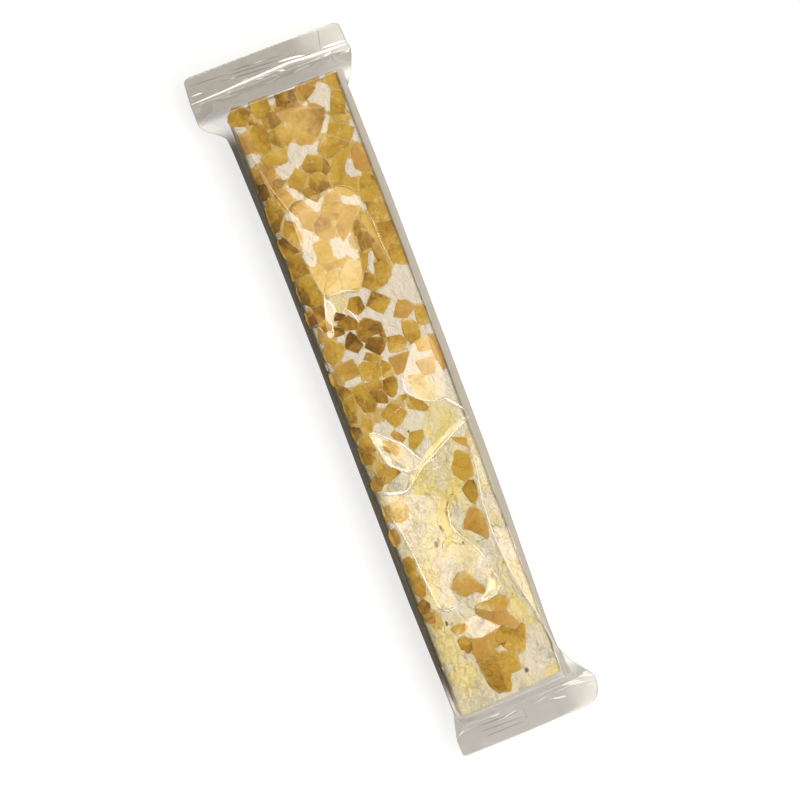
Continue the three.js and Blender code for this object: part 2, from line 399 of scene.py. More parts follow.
# Pieces in the upper broad face, as they lie: tone from pale (0) through gold to brown (1), and the
# corners, along and across in millimetres. The tones hold painted shade and light: darker along the -Y
# edge, where shade falls, and paler where the film's bright reflections lie over the pieces.
SHOWN_PEEL = [
    (0.62, (-98.3, -15), (-95.4, -17.2), (-94, -16.7), (-92.3, -13.3), (-95.6, -10.5), (-97.7, -12.3)),
    (0.60, (-93.8, -11.7), (-92.3, -11.9), (-92.3, -10.8), (-93.3, -10.7)),
    (0.50, (-98.1, -9.4), (-95.6, -10), (-93.3, -8.7), (-93.1, -6.7), (-94.2, -4.8), (-98.1, -4.6)),
    (0.62, (-93.1, -8.1), (-89.6, -7.5), (-89, -5.8), (-90, -2.9), (-92.9, -4), (-93.8, -5.8)),
    (0.80, (-97.5, -1.7), (-94.6, -2.2), (-94, 3.4), (-97.3, 3.5)),
    (0.60, (-94.4, -3.2), (-92.9, -3.8), (-91.6, 0), (-92.1, 3.9), (-93.9, 3.5)),
    (0.40, (-92.7, -3.1), (-90.2, -2.1), (-89.2, -0.8), (-91.4, 0.2)),
    (0.55, (-97.5, 4.6), (-93.8, 4.2), (-93.3, 6), (-95.6, 9.6), (-97.9, 7.1)),
    (0.45, (-98, 8.3), (-97.1, 8.8), (-97.2, 11.7), (-98, 11.7)),
    (0.38, (-98, 14.6), (-96.5, 12.9), (-93.3, 15.8), (-94.8, 17.4), (-97.3, 17.4)),
    (0.50, (-93.1, 14.2), (-86.7, 11.5), (-85.6, 15.4), (-91.9, 17.4)),
    (0.30, (-85.6, 11.7), (-84, 12.1), (-83.5, 16.7), (-85, 16.9)),
    (0.50, (-92.1, -10), (-90.2, -12.9), (-85.2, -13.1), (-82.5, -10.6), (-83.3, -8.8), (-89.6, -7.6)),
    (0.35, (-90.4, -16.3), (-85, -16), (-84.6, -13.2), (-90.2, -13.1)),
    (0.58, (-89.6, -4.2), (-87.9, -7.1), (-85.6, -7.9), (-82.7, -5), (-84.2, -0.9), (-86.3, -0.9)),
    (0.40, (-83.3, -6.3), (-81.9, -12.3), (-80, -11.7), (-78.5, -7.9), (-78.5, -5.2), (-82.5, -4.6)),
    (0.55, (-80.4, -14.1), (-75.1, -14.1), (-75.4, -10.4), (-79.2, -10.2)),
    (0.95, (-75.3, -16.5), (-70.8, -16.5), (-70.5, -14.2), (-75.3, -14)),
    (0.45, (-80, -16.5), (-75.5, -16), (-75.5, -14.2), (-80.2, -14.2)),
    (0.60, (-75, -13.8), (-70.8, -14), (-71.3, -11.7), (-73.3, -8.3), (-75, -10.4)),
    (0.66, (-70.6, -14.6), (-67.9, -16.6), (-60.4, -16.8), (-60, -15.4), (-62.9, -13.8), (-65, -12.3),
     (-67.9, -13.3)),
    (0.46, (-70.8, -12.9), (-65.4, -12.1), (-67.9, -7.9), (-72.3, -10)),
    (0.52, (-75.8, -4.2), (-73.3, -7.1), (-71.5, -7.5), (-69.2, -4.8), (-72.9, -1.3)),
    (0.72, (-69.2, -4.6), (-67.3, -4.2), (-64.6, -1.7), (-66.3, -0.2), (-69.4, -2.3)),
    (0.52, (-78.1, 0.6), (-75.8, -1.9), (-73.3, -1.7), (-72.7, 2.7), (-76, 4)),
    (0.68, (-76, 4.2), (-72.9, 2.8), (-71, 3.8), (-72.3, 5.4), (-75, 5)),
    (0.58, (-72.5, -0.8), (-69.2, -2.1), (-66.7, 0), (-67.5, 3.3), (-70.8, 3.8), (-72.5, 1.3)),
    (0.50, (-91.5, 0.8), (-89, -0.8), (-81.9, -0.8), (-81, 3.3), (-82.1, 5.4), (-87.5, 9.8),
     (-89.2, 10), (-90.6, 5.8)),
    (0.50, (-91.7, 6.7), (-90.7, 6.3), (-90, 8.3), (-91, 8.1)),
    (0.42, (-81.7, 7.1), (-78.1, 4.2), (-75.4, 5.8), (-75.1, 7.7), (-76.8, 13.3), (-79.6, 10.8)),
    (0.45, (-75, 7.9), (-70.8, 5), (-67.7, 4.2), (-67.1, 8.3), (-71.7, 9.6), (-75, 12.9), (-76.6, 13.3)),
    (0.50, (-84.8, 10.4), (-82.1, 8.8), (-77.9, 14), (-80.8, 16.3), (-82.1, 14.6)),
    (0.36, (-76.5, 15.4), (-74.6, 13.3), (-70, 12.5), (-67.3, 15.8), (-69, 17.3), (-74.8, 17.4)),
    (0.40, (-67.5, 4.6), (-65.4, 4.2), (-63, 8), (-63, 10.6), (-66.7, 11.7), (-67.9, 9.2)),
    (0.52, (-67.5, 14.6), (-65.4, 11.6), (-60.4, 10.8), (-58.8, 14.2), (-62.5, 16.7), (-65.5, 16.8)),
    (0.35, (-66.3, 16.9), (-61, 17), (-61.3, 17.4), (-65.8, 17.4)),
    (0.58, (-66.5, -8.8), (-65.2, -10.4), (-63.3, -9.2), (-63.3, -5), (-66.3, -5.8)),
    (0.40, (-63, -12.4), (-59.5, -14.2), (-56, -13.2), (-53.3, -12), (-56.5, -9.8), (-61.5, -10.2)),
    (0.70, (-58.5, -15), (-57.7, -16.7), (-52.7, -16.5), (-52.9, -11.9), (-55.8, -13)),
    (0.60, (-52.1, -15.8), (-45.7, -16.7), (-45.8, -11.7), (-52.1, -11.9)),
    (0.66, (-45.6, -15), (-42.1, -16.8), (-38.3, -16.5), (-35.9, -14.6), (-36, -11.3), (-39.2, -10.2),
     (-45.4, -11.9)),
    (0.70, (-35, -17), (-30.8, -17), (-30.4, -14.7), (-33.3, -14.6), (-35.2, -15.4)),
    (0.66, (-35.8, -14.2), (-31.3, -14.2), (-32.1, -12.1), (-35.8, -11.3)),
    (0.50, (-31.2, -14.2), (-28.2, -14.6), (-28, -11.7), (-30.4, -11.9)),
    (0.42, (-63.8, -7.9), (-59.2, -8.1), (-56.5, -5.5), (-58.6, -4.6), (-60.4, -2.4), (-63.4, -4.8)),
    (0.55, (-60, -2.4), (-58.6, -4.6), (-56, -5), (-53.6, -3.4), (-53.1, -0.8), (-55.2, 0.6),
     (-58.5, -0.4)),
    (0.50, (-62.9, -0.4), (-60.4, -2), (-57.5, 1.7), (-59.6, 4.6), (-62.4, 3.8), (-63.8, 2.1)),
    (0.40, (-65.2, 1.3), (-63.9, 0.8), (-62.6, 4), (-65.2, 5.2)),
    (0.45, (-60.8, 5.4), (-55.8, 0.9), (-51, 1.3), (-52.5, 3.3), (-58.3, 8.8), (-59.4, 7.9)),
    (0.40, (-53.3, -7.5), (-47.4, -7.7), (-47.6, -3.3), (-51.3, -2.9), (-53.5, -3.6)),
    (0.50, (-47.3, -7.5), (-44.4, -5.6), (-45.4, 0.4), (-46.5, 0.2), (-46.3, -4.2)),
    (0.22, (-44.2, -5.8), (-41.7, -8.4), (-37.3, -9.2), (-37.5, -4.6), (-44.2, -3.8)),
    (0.20, (-47.1, -11.3), (-42.5, -11.6), (-39.2, -10), (-41.7, -8.6), (-44.6, -7.1), (-46.7, -8.3)),
    (0.10, (-45.4, 0.8), (-42.5, -2.9), (-37.5, -3.8), (-35.8, 0), (-38.3, 2.1), (-43.3, 3.6)),
    (0.62, (-34.6, -2.9), (-32.1, -4.6), (-29.4, -2.5), (-30.4, 0), (-33.8, -0.4)),
    (0.62, (-34, 4), (-30.8, 1), (-26.9, 4.6), (-30, 8.4)),
    (0.55, (-40, 4), (-36.7, 2.1), (-34.3, 4.6), (-34.4, 6.7), (-35.8, 6.7), (-39.2, 5.4)),
    (0.55, (-45.8, 4.6), (-41.7, 3.8), (-40.2, 4.4), (-45, 6.7)),
    (0.45, (-41.6, 7.5), (-37.5, 7.1), (-36.7, 10.8), (-38.8, 12.1), (-41.6, 10.8)),
    (0.60, (-47.1, 8.8), (-41.8, 8.8), (-41.9, 11.3), (-47.1, 10.6)),
    (0.72, (-51.3, 6), (-46.3, 5.4), (-46.7, 8.7), (-47.5, 10), (-51.3, 8.8)),
    (0.62, (-55.4, 6.3), (-51.5, 5.4), (-51.5, 8.8), (-54.6, 8.3)),
    (0.40, (-58.3, 9.2), (-55, 8.5), (-51.3, 9.2), (-46.3, 11.3), (-40, 12.5), (-42.5, 12.9),
     (-52.5, 11.7)),
    (0.48, (-59.2, 11.7), (-55, 11.7), (-52.4, 13.1), (-56.7, 14.6), (-58.6, 13.3)),
    (0.42, (-56.7, 15), (-52.5, 13.3), (-51.7, 16.3), (-52.9, 17.3), (-55.8, 17.3)),
    (0.50, (-52.1, 12.5), (-45.6, 12.9), (-45.4, 17.2), (-47.9, 17.2), (-51.3, 16.9)),
    (0.42, (-45, 14.2), (-43.3, 13), (-40, 12.9), (-37.9, 16.7), (-38.3, 17.2), (-43.8, 17.2)),
    (0.30, (-62.5, 16.7), (-57.5, 15.4), (-56.9, 17), (-60.8, 17.2)),
    (0.42, (-38.3, 6.9), (-34.6, 6.8), (-35, 8.8), (-36.6, 10)),
    (0.78, (-28.3, -10.8), (-25.8, -11.5), (-25.6, -8.3), (-26.9, -8.5)),
    (0.66, (-29.6, -8), (-28.3, -9.4), (-26.3, -7.5), (-25.6, -4.2), (-27.5, -3.5), (-29.6, -5.4)),
    (0.95, (-32, -8.5), (-30.2, -9.5), (-29.7, -7.2), (-30.5, -6.4)),
    (0.38, (-25.4, -13.3), (-23.1, -15.8), (-20.8, -16.3), (-17.7, -14.6), (-19.6, -11), (-22.3, -9.6)),
    (0.40, (-28.8, -15.2), (-25.4, -16.3), (-25.8, -14.2), (-27.9, -14.4)),
    (0.86, (-25.2, -6.5), (-23.8, -8.3), (-21.5, -9.4), (-18.8, -6.7), (-20.4, -4.6), (-22.9, -5.2)),
    (0.68, (-27.5, -1.3), (-26.3, -3.8), (-22.9, -5), (-20.6, -3.3), (-22.1, -1.3), (-21.7, 2.5),
     (-24.6, 2.9)),
    (0.76, (-21.7, -2.3), (-19.4, -4), (-15.8, -0.8), (-16.3, 0), (-18.8, 2.5), (-20, 1.7)),
    (0.62, (-21.6, 1.3), (-20.2, 1.6), (-19.8, 2.6), (-21.5, 2.8)),
    (0.42, (-17.5, -9), (-16.7, -14.6), (-15, -15), (-12.3, -14.6), (-12.5, -8.3)),
    (0.50, (-17.7, -4.2), (-16, -5.6), (-14, -1.7), (-15, -0.6)),
    (0.42, (-15.6, -6.3), (-14.2, -7.9), (-10.8, -8.2), (-9.2, -4.6), (-10, -2.5), (-13.8, -2.1)),
    (0.40, (-13.8, -0.8), (-11.7, -2.3), (-9.2, -2.1), (-9, 1.2), (-11.7, 0.8)),
    (0.45, (-13.5, 1.5), (-8.3, 1.4), (-8.3, 3.8), (-13.3, 7.7)),
    (0.42, (-19.6, 3.3), (-15.4, 2.3), (-14, 6.7), (-17.1, 8.3), (-18.8, 6.7)),
    (0.36, (-22.3, 8.8), (-17.9, 8.4), (-15.4, 9.2), (-16.3, 12.5), (-19.6, 13.3), (-21.7, 12.1)),
    (0.38, (-28.8, 10.2), (-24.8, 7.3), (-23.1, 10.8), (-25.6, 14.2), (-27.5, 12.9)),
    (0.40, (-25, 14), (-20, 13.5), (-19.2, 16.3), (-23.8, 17), (-25.2, 15.8)),
    (0.50, (-9.2, -12.1), (-6.7, -12.4), (-0.8, -11.3), (-0.4, -8.3), (-3.3, -6.4), (-6.7, -7.9),
     (-9.6, -8.3)),
    (0.72, (-6.3, -7.5), (-2.9, -6.3), (-1.5, -3.8), (-3.3, -3.3), (-5.8, -4.2)),
    (0.52, (-9.2, -7.9), (-6.4, -7.5), (-5.9, -4.2), (-7.9, -3.3), (-8.8, -4.2)),
    (0.64, (-7.9, -2.9), (-5, -3.8), (-2.3, -2.1), (-3.3, -0.4), (-7.1, 1.3), (-8.3, 0.4)),
    (0.62, (-12.3, -16.8), (-9.2, -16), (-6.9, -15.8), (-7.9, -12.6), (-10, -13.8)),
    (0.60, (-6.7, -16.3), (0, -16.3), (0.8, -14.6), (-4.2, -12.9), (-7.5, -12.6)),
    (0.82, (1.5, -16.8), (5.2, -16.8), (5, -14.4), (2.5, -14.6)),
    (0.48, (-15.6, -17), (-12.5, -17), (-12.1, -15.8), (-15, -15.7)),
    (0.45, (-0.8, -3.3), (1.3, -6.7), (6.3, -4.2), (5.8, -2.5), (3.3, 0.6), (0, -1.7)),
    (0.42, (-1.3, 2.2), (2.5, 1.7), (5.2, 6.3), (4.2, 7.3), (0.4, 4.6)),
    (0.36, (-1.7, -0.4), (-0.4, -0.8), (-0.8, 2.1), (-1.7, 2.1)),
    (0.35, (0.4, -12.5), (3.3, -13.8), (5, -13.1), (4.6, -11.3), (1.3, -10.4)),
    (0.22, (-15.8, 10.8), (-12.5, 10.8), (-11.7, 14.2), (-15.4, 14.5)),
    (0.08, (-6.7, 5), (-2.5, 4.6), (-1.7, 9), (-5, 9.1)),
    (0.0, (-9.6, 8.8), (-5.4, 9.3), (-4.6, 12.9), (-9.2, 14.4)),
    (0.35, (-15.8, 14.7), (-9.2, 14.6), (-4.2, 15.4), (-5, 17), (-15.4, 17)),
    (0.50, (5.2, -14.2), (8.3, -16.9), (11, -14.4), (10.4, -12.3), (6.3, -13.1)),
    (0.54, (9.2, -17), (12.9, -17), (14.4, -15.4), (12.5, -13.1), (11.2, -14.2)),
    (0.60, (17.5, -15), (19.4, -17.1), (21.7, -17.1), (22.9, -15.8), (20.8, -13.8)),
    (0.54, (15, -12.1), (16, -14.2), (19, -13.8), (18.8, -11.9), (17.1, -10.9)),
    (0.48, (17.2, -10.7), (20.4, -13.2), (21, -12.1), (19.6, -7.9), (17.9, -8.8)),
    (0.35, (8.8, -9.2), (11.3, -9.6), (14.2, -7.1), (12.9, -5), (10, -7.1)),
    (0.42, (7.3, -5), (7.9, -6.5), (11, -4), (10.4, -2.7)),
    (0.55, (9.6, -0.8), (13.3, -2.1), (14.8, -1.3), (12.3, 2.5), (10.4, 3.1)),
    (0.46, (19.4, 10), (24.8, 6.5), (29.6, 9.6), (28.3, 12.5), (22.5, 13.5)),
    (0.40, (15.6, 10.4), (17.1, 11.3), (19.8, 14), (17.5, 14.2)),
    (0.64, (29.8, 10.4), (31.7, 8.3), (35.8, 8.8), (37.3, 10), (35, 11.5), (30, 12.3)),
    (0.48, (40.5, 4.9), (38.2, 7.4), (38, 9.1), (39.9, 10.7), (43, 10.9), (47.5, 10.5), (48.8, 9.6),
     (46.4, 7.9), (44.4, 6.3), (43.2, 4.2)),
    (0.25, (27.9, -14.5), (27.8, -11.5), (28.5, -9.8), (31.1, -9.8), (33.2, -11), (33.7, -13.1),
     (32.3, -14.9)),
    (0.55, (34.7, -17.1), (35, -15.6), (37.5, -15), (39.5, -15.7), (39.8, -17.5), (37.3, -17.8)),
    (0.30, (27.5, -16.9), (31.7, -17), (32.1, -16.2), (27.7, -15.9)),
    (0.50, (45, -16.4), (44.6, -14.7), (46.9, -14), (49, -14.3), (50.8, -15), (50.6, -16.6), (48.3, -17)),
    (0.55, (51.4, -16.6), (51.2, -14), (54.7, -13.7), (57.2, -14), (57.2, -16), (54.7, -16.9)),
    (0.68, (58.5, -15.4), (60, -17.3), (62.5, -17.1), (63.2, -15), (60.8, -14.2)),
    (0.60, (62.9, -17.1), (65.8, -16.7), (66.7, -14.6), (63.4, -14.2)),
    (0.40, (56.6, -4.3), (55.6, -1.9), (55.7, -0.3), (57.7, 0.6), (59.7, 1.5), (62, 3.6), (63.3, 3.5),
     (64, 2.2), (62.4, 0.2), (62.7, -2.6), (61.3, -4.4), (59, -5.8)),
    (0.26, (66.4, 0.3), (67.1, 3.7), (66.6, 6.8), (67.2, 8.4), (69.6, 8.7), (71.7, 6.7), (70.3, 2.5),
     (67.2, -1.3)),
    (0.45, (67.2, -1.3), (70.3, 2.5), (71.7, 6.7), (75.2, 8.7), (77.5, 9.7), (78.6, 7.8), (75.8, 4.4),
     (73, 1.4), (69.3, -1.6)),
    (0.46, (75.8, 4.4), (78.6, 7.8), (77.5, 9.7), (78.3, 10.7), (85.8, 7.9), (85.8, 5.8), (84.6, 5.2),
     (83.6, 2.9), (82.3, 2.3), (80.9, 2.1), (81.1, 0.6), (78.6, 0), (76.5, 1.6)),
    (0.44, (75.9, -6.3), (77, -3), (76.5, -1.4), (76.5, 1.6), (78.6, 0), (81.1, 0.6), (81.2, -1),
     (82.1, -0.2), (83.4, 0.2), (83.5, -2.6), (82.9, -6.8), (80.2, -7.6), (79.3, -7.1)),
    (0.50, (82.9, -6.8), (83.5, -2.6), (83.4, 0.2), (83.1, 1.3), (83.6, 2.9), (84.6, 5.2), (85.8, 5.8),
     (86.5, 5.2), (88.3, 4.9), (90.2, 4.9), (90.6, 3.3), (90.5, 1.4), (91.8, 0.8), (93.6, 0.6),
     (95.4, -0.4), (94.8, -2.4), (94.7, -3.9), (92.1, -5.5), (88.8, -6.1), (85.7, -6.4)),
    (0.55, (79.5, -8.8), (77.4, -9.8), (75.1, -9.9), (74.3, -7.9), (75.9, -6.3), (79.3, -7.1)),
    (0.32, (70.7, -10.6), (70.3, -9), (70.6, -6.5), (72, -5.9), (72.6, -8), (72.7, -9.5)),
]
# Ring by ring from the middle of a piece's face to its foot: share of its outline, and height
# as a share of its depth
PEEL_RINGS = [(0.45, 0.0), (0.82, -0.002), (0.96, -0.008), (1.0, -0.03), (1.01, -0.12), (0.95, -1.0)]

draw = random.Random(PEEL_SEED)


def cut_block(length, width, turn):
    """Corners of a knife-cut block: a turned oblong with its corners moved, and often one cut off."""
    corners = []
    cut_off = draw.randrange(CUT_ODDS)
    for number, (side_x, side_y) in enumerate([(1, 1), (-1, 1), (-1, -1), (1, -1)]):
        x = side_x * length / 2 * draw.uniform(*CORNER_PLACE)
        y = side_y * width / 2 * draw.uniform(*CORNER_PLACE)
        if number == cut_off:
            first, second = (x, y * CORNER_CUT), (x * CORNER_CUT, y)
            corners += [first, second] if side_x * side_y > 0 else [second, first]
        else:
            corners.append((x, y))
    return [Matrix.Rotation(turn, 2) @ Vector(corner) for corner in corners]


class PeelHeap:
    """Collects the pieces of peel as lists of points and faces for one mesh."""

    def __init__(self):
        self.points, self.faces, self.tones, self.rims, self.fibres = [], [], [], [], []
        self.cuts, self.hues = [], []

    def lay(self, face, corners, tone):
        """Lays one piece into a face of the stick. face maps along, across and out to the stick."""
        middle = sum(corners, Vector((0, 0))) / len(corners)
        outline = []
        for here, corner in enumerate(corners):
            onward = corners[(here + 1) % len(corners)]
            steps = max(1, round((onward - corner).length / EDGE_STEP))
            outline += [corner.lerp(onward, k / steps) - middle for k in range(steps)]
        for point in outline:
            point += point.normalized() * (PEEL_GROW + draw.uniform(-1, 1) * EDGE_WAVER)
        radius = max(point.length for point in outline)
        paler = Matrix.Rotation(draw.uniform(0, 2 * math.pi), 2) @ Vector((PEEL_FADE / radius, 0))
        # A random line across each piece makes one side lighter and the other darker: painted light and
        # shade.
        facet_light_way = Matrix.Rotation(draw.uniform(0, 2 * math.pi), 2) @ Vector((1, 0))
        cut_at = draw.uniform(-0.4, 0.4) * radius
        hue = draw.uniform(-1, 1)
        into = face.to_3x3() @ Vector((0, 0, -1))
        levels = [0.0]
        for spot in [middle] + [middle.lerp(corner, 0.75) for corner in corners]:
            hit, on_stick, _, _ = stick.ray_cast(face @ Vector((*spot, 10 * MM)), into)
            if hit:
                levels.append((face.inverted() @ on_stick).z)
        level = sorted(levels)[len(levels) * 3 // 4]
        seat = Matrix.Translation((*middle, level + draw.uniform(*PEEL_PROUD)))
        seat = seat @ Matrix.Rotation(draw.uniform(-PEEL_TILT, PEEL_TILT), 4, "X")
        seat = seat @ Matrix.Rotation(draw.uniform(-PEEL_TILT, PEEL_TILT), 4, "Y")
        depth = draw.uniform(*PEEL_DEPTH)
        grain = Matrix.Rotation(draw.uniform(0, math.pi), 4, "Z")
        offset = Vector((draw.uniform(-1, 1), draw.uniform(-1, 1), draw.uniform(-1, 1)))
        first = len(self.points)
        for share, height in [(0.0, 0.0)] + PEEL_RINGS + [(0.0, -1.0)]:
            for point in outline if share else outline[:1]:
                lump = FACE_LUMP * draw.uniform(-1, 1)
                local = Vector((point.x * share, point.y * share, height * depth + lump))
                laid = face @ (seat @ local)
                laid.z = min(max(laid.z, PRESSED_FROM), PRESSED_TO)
                self.points.append(laid)
                self.cuts.append((facet_light_way.dot(point) * share - cut_at) / MM)
                self.hues.append(hue)
                self.tones.append(tone + paler.dot(point) * share)
                self.rims.append(share if height > -0.5 else 1.0)
                self.fibres.append(grain @ local + offset)
        count = len(outline)
        last = len(self.points) - 1
        foot = last - count
        for k in range(count):
            after = (k + 1) % count
            self.faces.append((first, first + 1 + k, first + 1 + after))
            for row in range(len(PEEL_RINGS) - 1):
                here = first + 1 + row * count
                below = here + count
                self.faces.append((here + k, below + k, below + after, here + after))
            self.faces.append((last, foot + after, foot + k))


def scatter(heap, face, half_along, half_across, tries, thickness):
    """Lays pieces at random in one face of the stick, none on another, few past its first part."""
    laid = []
    for _ in range(tries):
        size = draw.uniform(*LOOSE_SIZE) * MM
        reach = CORNER_REACH * size + PEEL_GROW
        if reach > half_across:
            continue
        along = draw.uniform(reach - half_along, half_along - reach)
        across = draw.uniform(reach - half_across, half_across - reach)
        in_first_part = (face @ Vector((along, across, 0))).x < CRUMBLY_FROM
        if draw.random() > (thickness if in_first_part else FEW):
            continue
        if any(math.hypot(along - x, across - y) < CLOSEST * (size + other) for x, y, other in laid):
            continue
        laid.append((along, across, size))
        block = cut_block(size, size * draw.uniform(*LOOSE_WIDTH), draw.uniform(0, math.pi))
        heap.lay(face, [Vector((along, across)) + corner for corner in block], draw.uniform(*LOOSE_TONE))


def face_of(middle, along, across, out):
    """The place of one face of the stick: its middle and the directions on it and out of it."""
    rows = [(*axis, place) for axis, place in zip(zip(along, across, out), middle)]
    return Matrix([*rows, (0, 0, 0, 1)])


half_length = STICK_LENGTH / 2
half_width = STICK_WIDTH / 2
middle_height = (STICK_FOOT + STICK_TOP) / 2
half_height = (STICK_TOP - STICK_FOOT) / 2
heap = PeelHeap()
upper_face = face_of((0, 0, STICK_TOP), (1, 0, 0), (0, 1, 0), (0, 0, 1))
for tone, *corners in SHOWN_PEEL:
    heap.lay(upper_face, [Vector(corner) * MM for corner in corners], tone)
# The underside, the two long sides and the -X end: middle, directions along, across and out, half the
# length and the width, how often a piece is tried, and how thick the pieces lie
HIDDEN_FACES = [
    ((0, 0, STICK_FOOT), (1, 0, 0), (0, -1, 0), (0, 0, -1), half_length, half_width, 1500, 1.0),
    ((0, -half_width, middle_height), (1, 0, 0), (0, 0, 1), (0, -1, 0), half_length, half_height, 900, 1.0),
    ((0, half_width, middle_height), (-1, 0, 0), (0, 0, 1), (0, 1, 0), half_length, half_height, 900, 1.0),
    ((-half_length, 0, middle_height), (0, -1, 0), (0, 0, 1), (-1, 0, 0), half_width, half_height, 150, 0.8),
]
for middle, along, across, out, half_along, half_across, tries, thickness in HIDDEN_FACES:
    scatter(heap, face_of(middle, along, across, out), half_along, half_across, tries, thickness)


def depth_in(outline, x, y):
    """How far points lie inside an outline, below zero outside it."""
    inside = np.zeros(len(x), bool)
    closed = np.vstack([outline, outline[:1]])
    for (x0, y0), (x1, y1) in zip(closed[:-1], closed[1:]):
        if y0 != y1:
            inside ^= ((y0 > y) != (y1 > y)) & (x < x0 + (y - y0) * (x1 - x0) / (y1 - y0))
    to_edge = to_line(closed, x, y)
    return np.where(inside, to_edge, -to_edge)


# Syrup soaks into the nougat where two pieces leave only a narrow gap
SOAKED_GAP = (0.5 * MM, 1.7 * MM)
SOAKED_UP_TO = (-50 * MM, -25 * MM)      # less so past here, apart from beside the -Y edge
SOAKED_SIDE = (-12 * MM, -8 * MM)
# Where more syrup has run: middle along and across, half length and half width, in millimetres
SYRUP_POOLS = [(1, -8.5, 3, 5), (0.5, -1.5, 2.5, 3.5), (-49.5, 4, 3, 1.5), (-20, -1.5, 2, 2.5),
               (2, -13.5, 7, 3.5), (14, -14, 6, 3), (66, -14, 4, 2.5)]
NEAR = 4 * MM
PEEL_BED = 0.9 * MM                      # how far the nougat gives way under a piece
BED_EDGE = 0.8 * MM                      # how far in from a piece's outline it has given way
nearest = np.full(len(x), NEAR)
second = np.full(len(x), NEAR)
bedded = np.zeros(len(x))
for _, *corners in SHOWN_PEEL:
    outline = np.array(corners) * MM
    low, high = outline.min(axis=0) - NEAR, outline.max(axis=0) + NEAR
    close = (x > low[0]) & (x < high[0]) & (y > low[1]) & (y < high[1]) & (z > half_height)
    depth = depth_in(outline, x[close], y[close])
    bedded[close] = np.maximum(bedded[close], smooth_step(depth, 0, BED_EDGE))
    away = np.maximum(-depth - PEEL_GROW, 0)
    second[close] = np.minimum(second[close], np.maximum(away, nearest[close]))
    nearest[close] = np.minimum(nearest[close], away)
in_gap = 1 - smooth_step(nearest + second, *SOAKED_GAP)
crowded = 1 - 0.6 * smooth_step(x, *SOAKED_UP_TO) * smooth_step(y, *SOAKED_SIDE)
soaked = in_gap * crowded
for pool_x, pool_y, pool_length, pool_width in SYRUP_POOLS:
    from_middle = np.hypot((x / MM - pool_x) / pool_length, (y / MM - pool_y) / pool_width)
    soaked = np.maximum(soaked, 1 - smooth_step(from_middle, 0.3, 1.35))
point_values(stick, "soaked", soaked * on_top)
z -= PEEL_BED * bedded
stick.data.vertices.foreach_set("co", places)
stick.data.update()

mesh = bpy.data.meshes.new("candied_lemon_peel")
mesh.from_pydata(heap.points, [], heap.faces)
mesh.validate()
peel = bpy.data.objects.new("candied_lemon_peel", mesh)
bpy.context.collection.objects.link(peel)
for name, values in (("tone", heap.tones), ("rim", heap.rims), ("cut", heap.cuts), ("hue", heap.hues)):
    point_values(peel, name, values)
fibre = mesh.attributes.new("fibre", "FLOAT_VECTOR", "POINT")
fibre.data.foreach_set("vector", [number for point in heap.fibres for number in point])
use_only(peel)
bpy.ops.object.mode_set(mode="EDIT")
bpy.ops.mesh.select_all(action="SELECT")
bpy.ops.mesh.normals_make_consistent(inside=False)
bpy.ops.object.mode_set(mode="OBJECT")
bpy.ops.object.shade_smooth()

LEMON_PEEL = (0.60, 0.385, 0.05, 1)
RUDDY_PEEL = (0.56, 0.30, 0.09, 1)
PALE_RIM_AND_GLINT = (0.82, 0.63, 0.24, 1)
PITH_DARK = (0.20, 0.095, 0.012, 1)
candied, start = new_finish("candied_peel")
tone = start.stored("tone")
rim = start.stored("rim")
fibre_place = start.stored("fibre", "Vector")
cut = start.stored("cut")
hue = start.stored("hue")
long_grain = start.add("Mapping", {}, {"Vector": fibre_place, "Scale": (0.5, 1.5, 1.0)})
strands = long_grain.noise(1.8 * MM, 4, 0.6)
mottle = fibre_place.noise(3.0 * MM, 4, 0.65, 0.8)
sugar = fibre_place.noise(0.7 * MM, 2, 0.5)
# Painted light and shade: lighter on one side of the line, darker on the other, like a lit top and a shaded
# side.
painted_facet_light = (cut + (mottle - 0.5) * 1.5).rise(-0.25, 0.25)
pulp = fibre_place.noise(1.2 * MM, 3, 0.6, 0.5)
shade = tone + (strands - 0.5) * 0.35 + (mottle - 0.5) * 0.6 + (pulp - 0.5) * 0.4 + (painted_facet_light - 0.5) * 0.14
shade = shade - sugar.rise(0.56, 0.74) * 0.05
colour = start.add("ValToRGB", {"stops": [
    (0.0, (0.82, 0.68, 0.36)), (0.30, (0.60, 0.375, 0.065)), (0.50, (0.48, 0.275, 0.030)),
    (0.72, (0.28, 0.135, 0.012)), (1.0, (0.12, 0.050, 0.004))]}, {0: shade})
tinted = 0.55 * shade.rise(0.9, 0.5)
colour = colour.tint(hue.rise(0.0, 1.0) * tinted, LEMON_PEEL)
colour = colour.tint(hue.rise(-0.2, -1.0) * tinted, RUDDY_PEEL)
grainy = (mottle + 0.25 * hue).rise(0.42, 0.62)
pits = fibre_place.noise(1.0 * MM, 4, 0.65, 0.8)
colour = colour.tint(pits.rise(0.56, 0.72) * grainy * 0.45, PITH_DARK)
colour = colour.tint(rim.rise(0.84, 1.0) * mottle.rise(0.40, 0.60) * 0.42, PALE_RIM_AND_GLINT)
lapped = rim + (fibre_place.noise(1.1 * MM, 3, 0.65) - 0.5) * 0.9
colour = colour.tint(lapped.rise(0.97, 1.17) * 0.6, NOUGAT_WHITE)
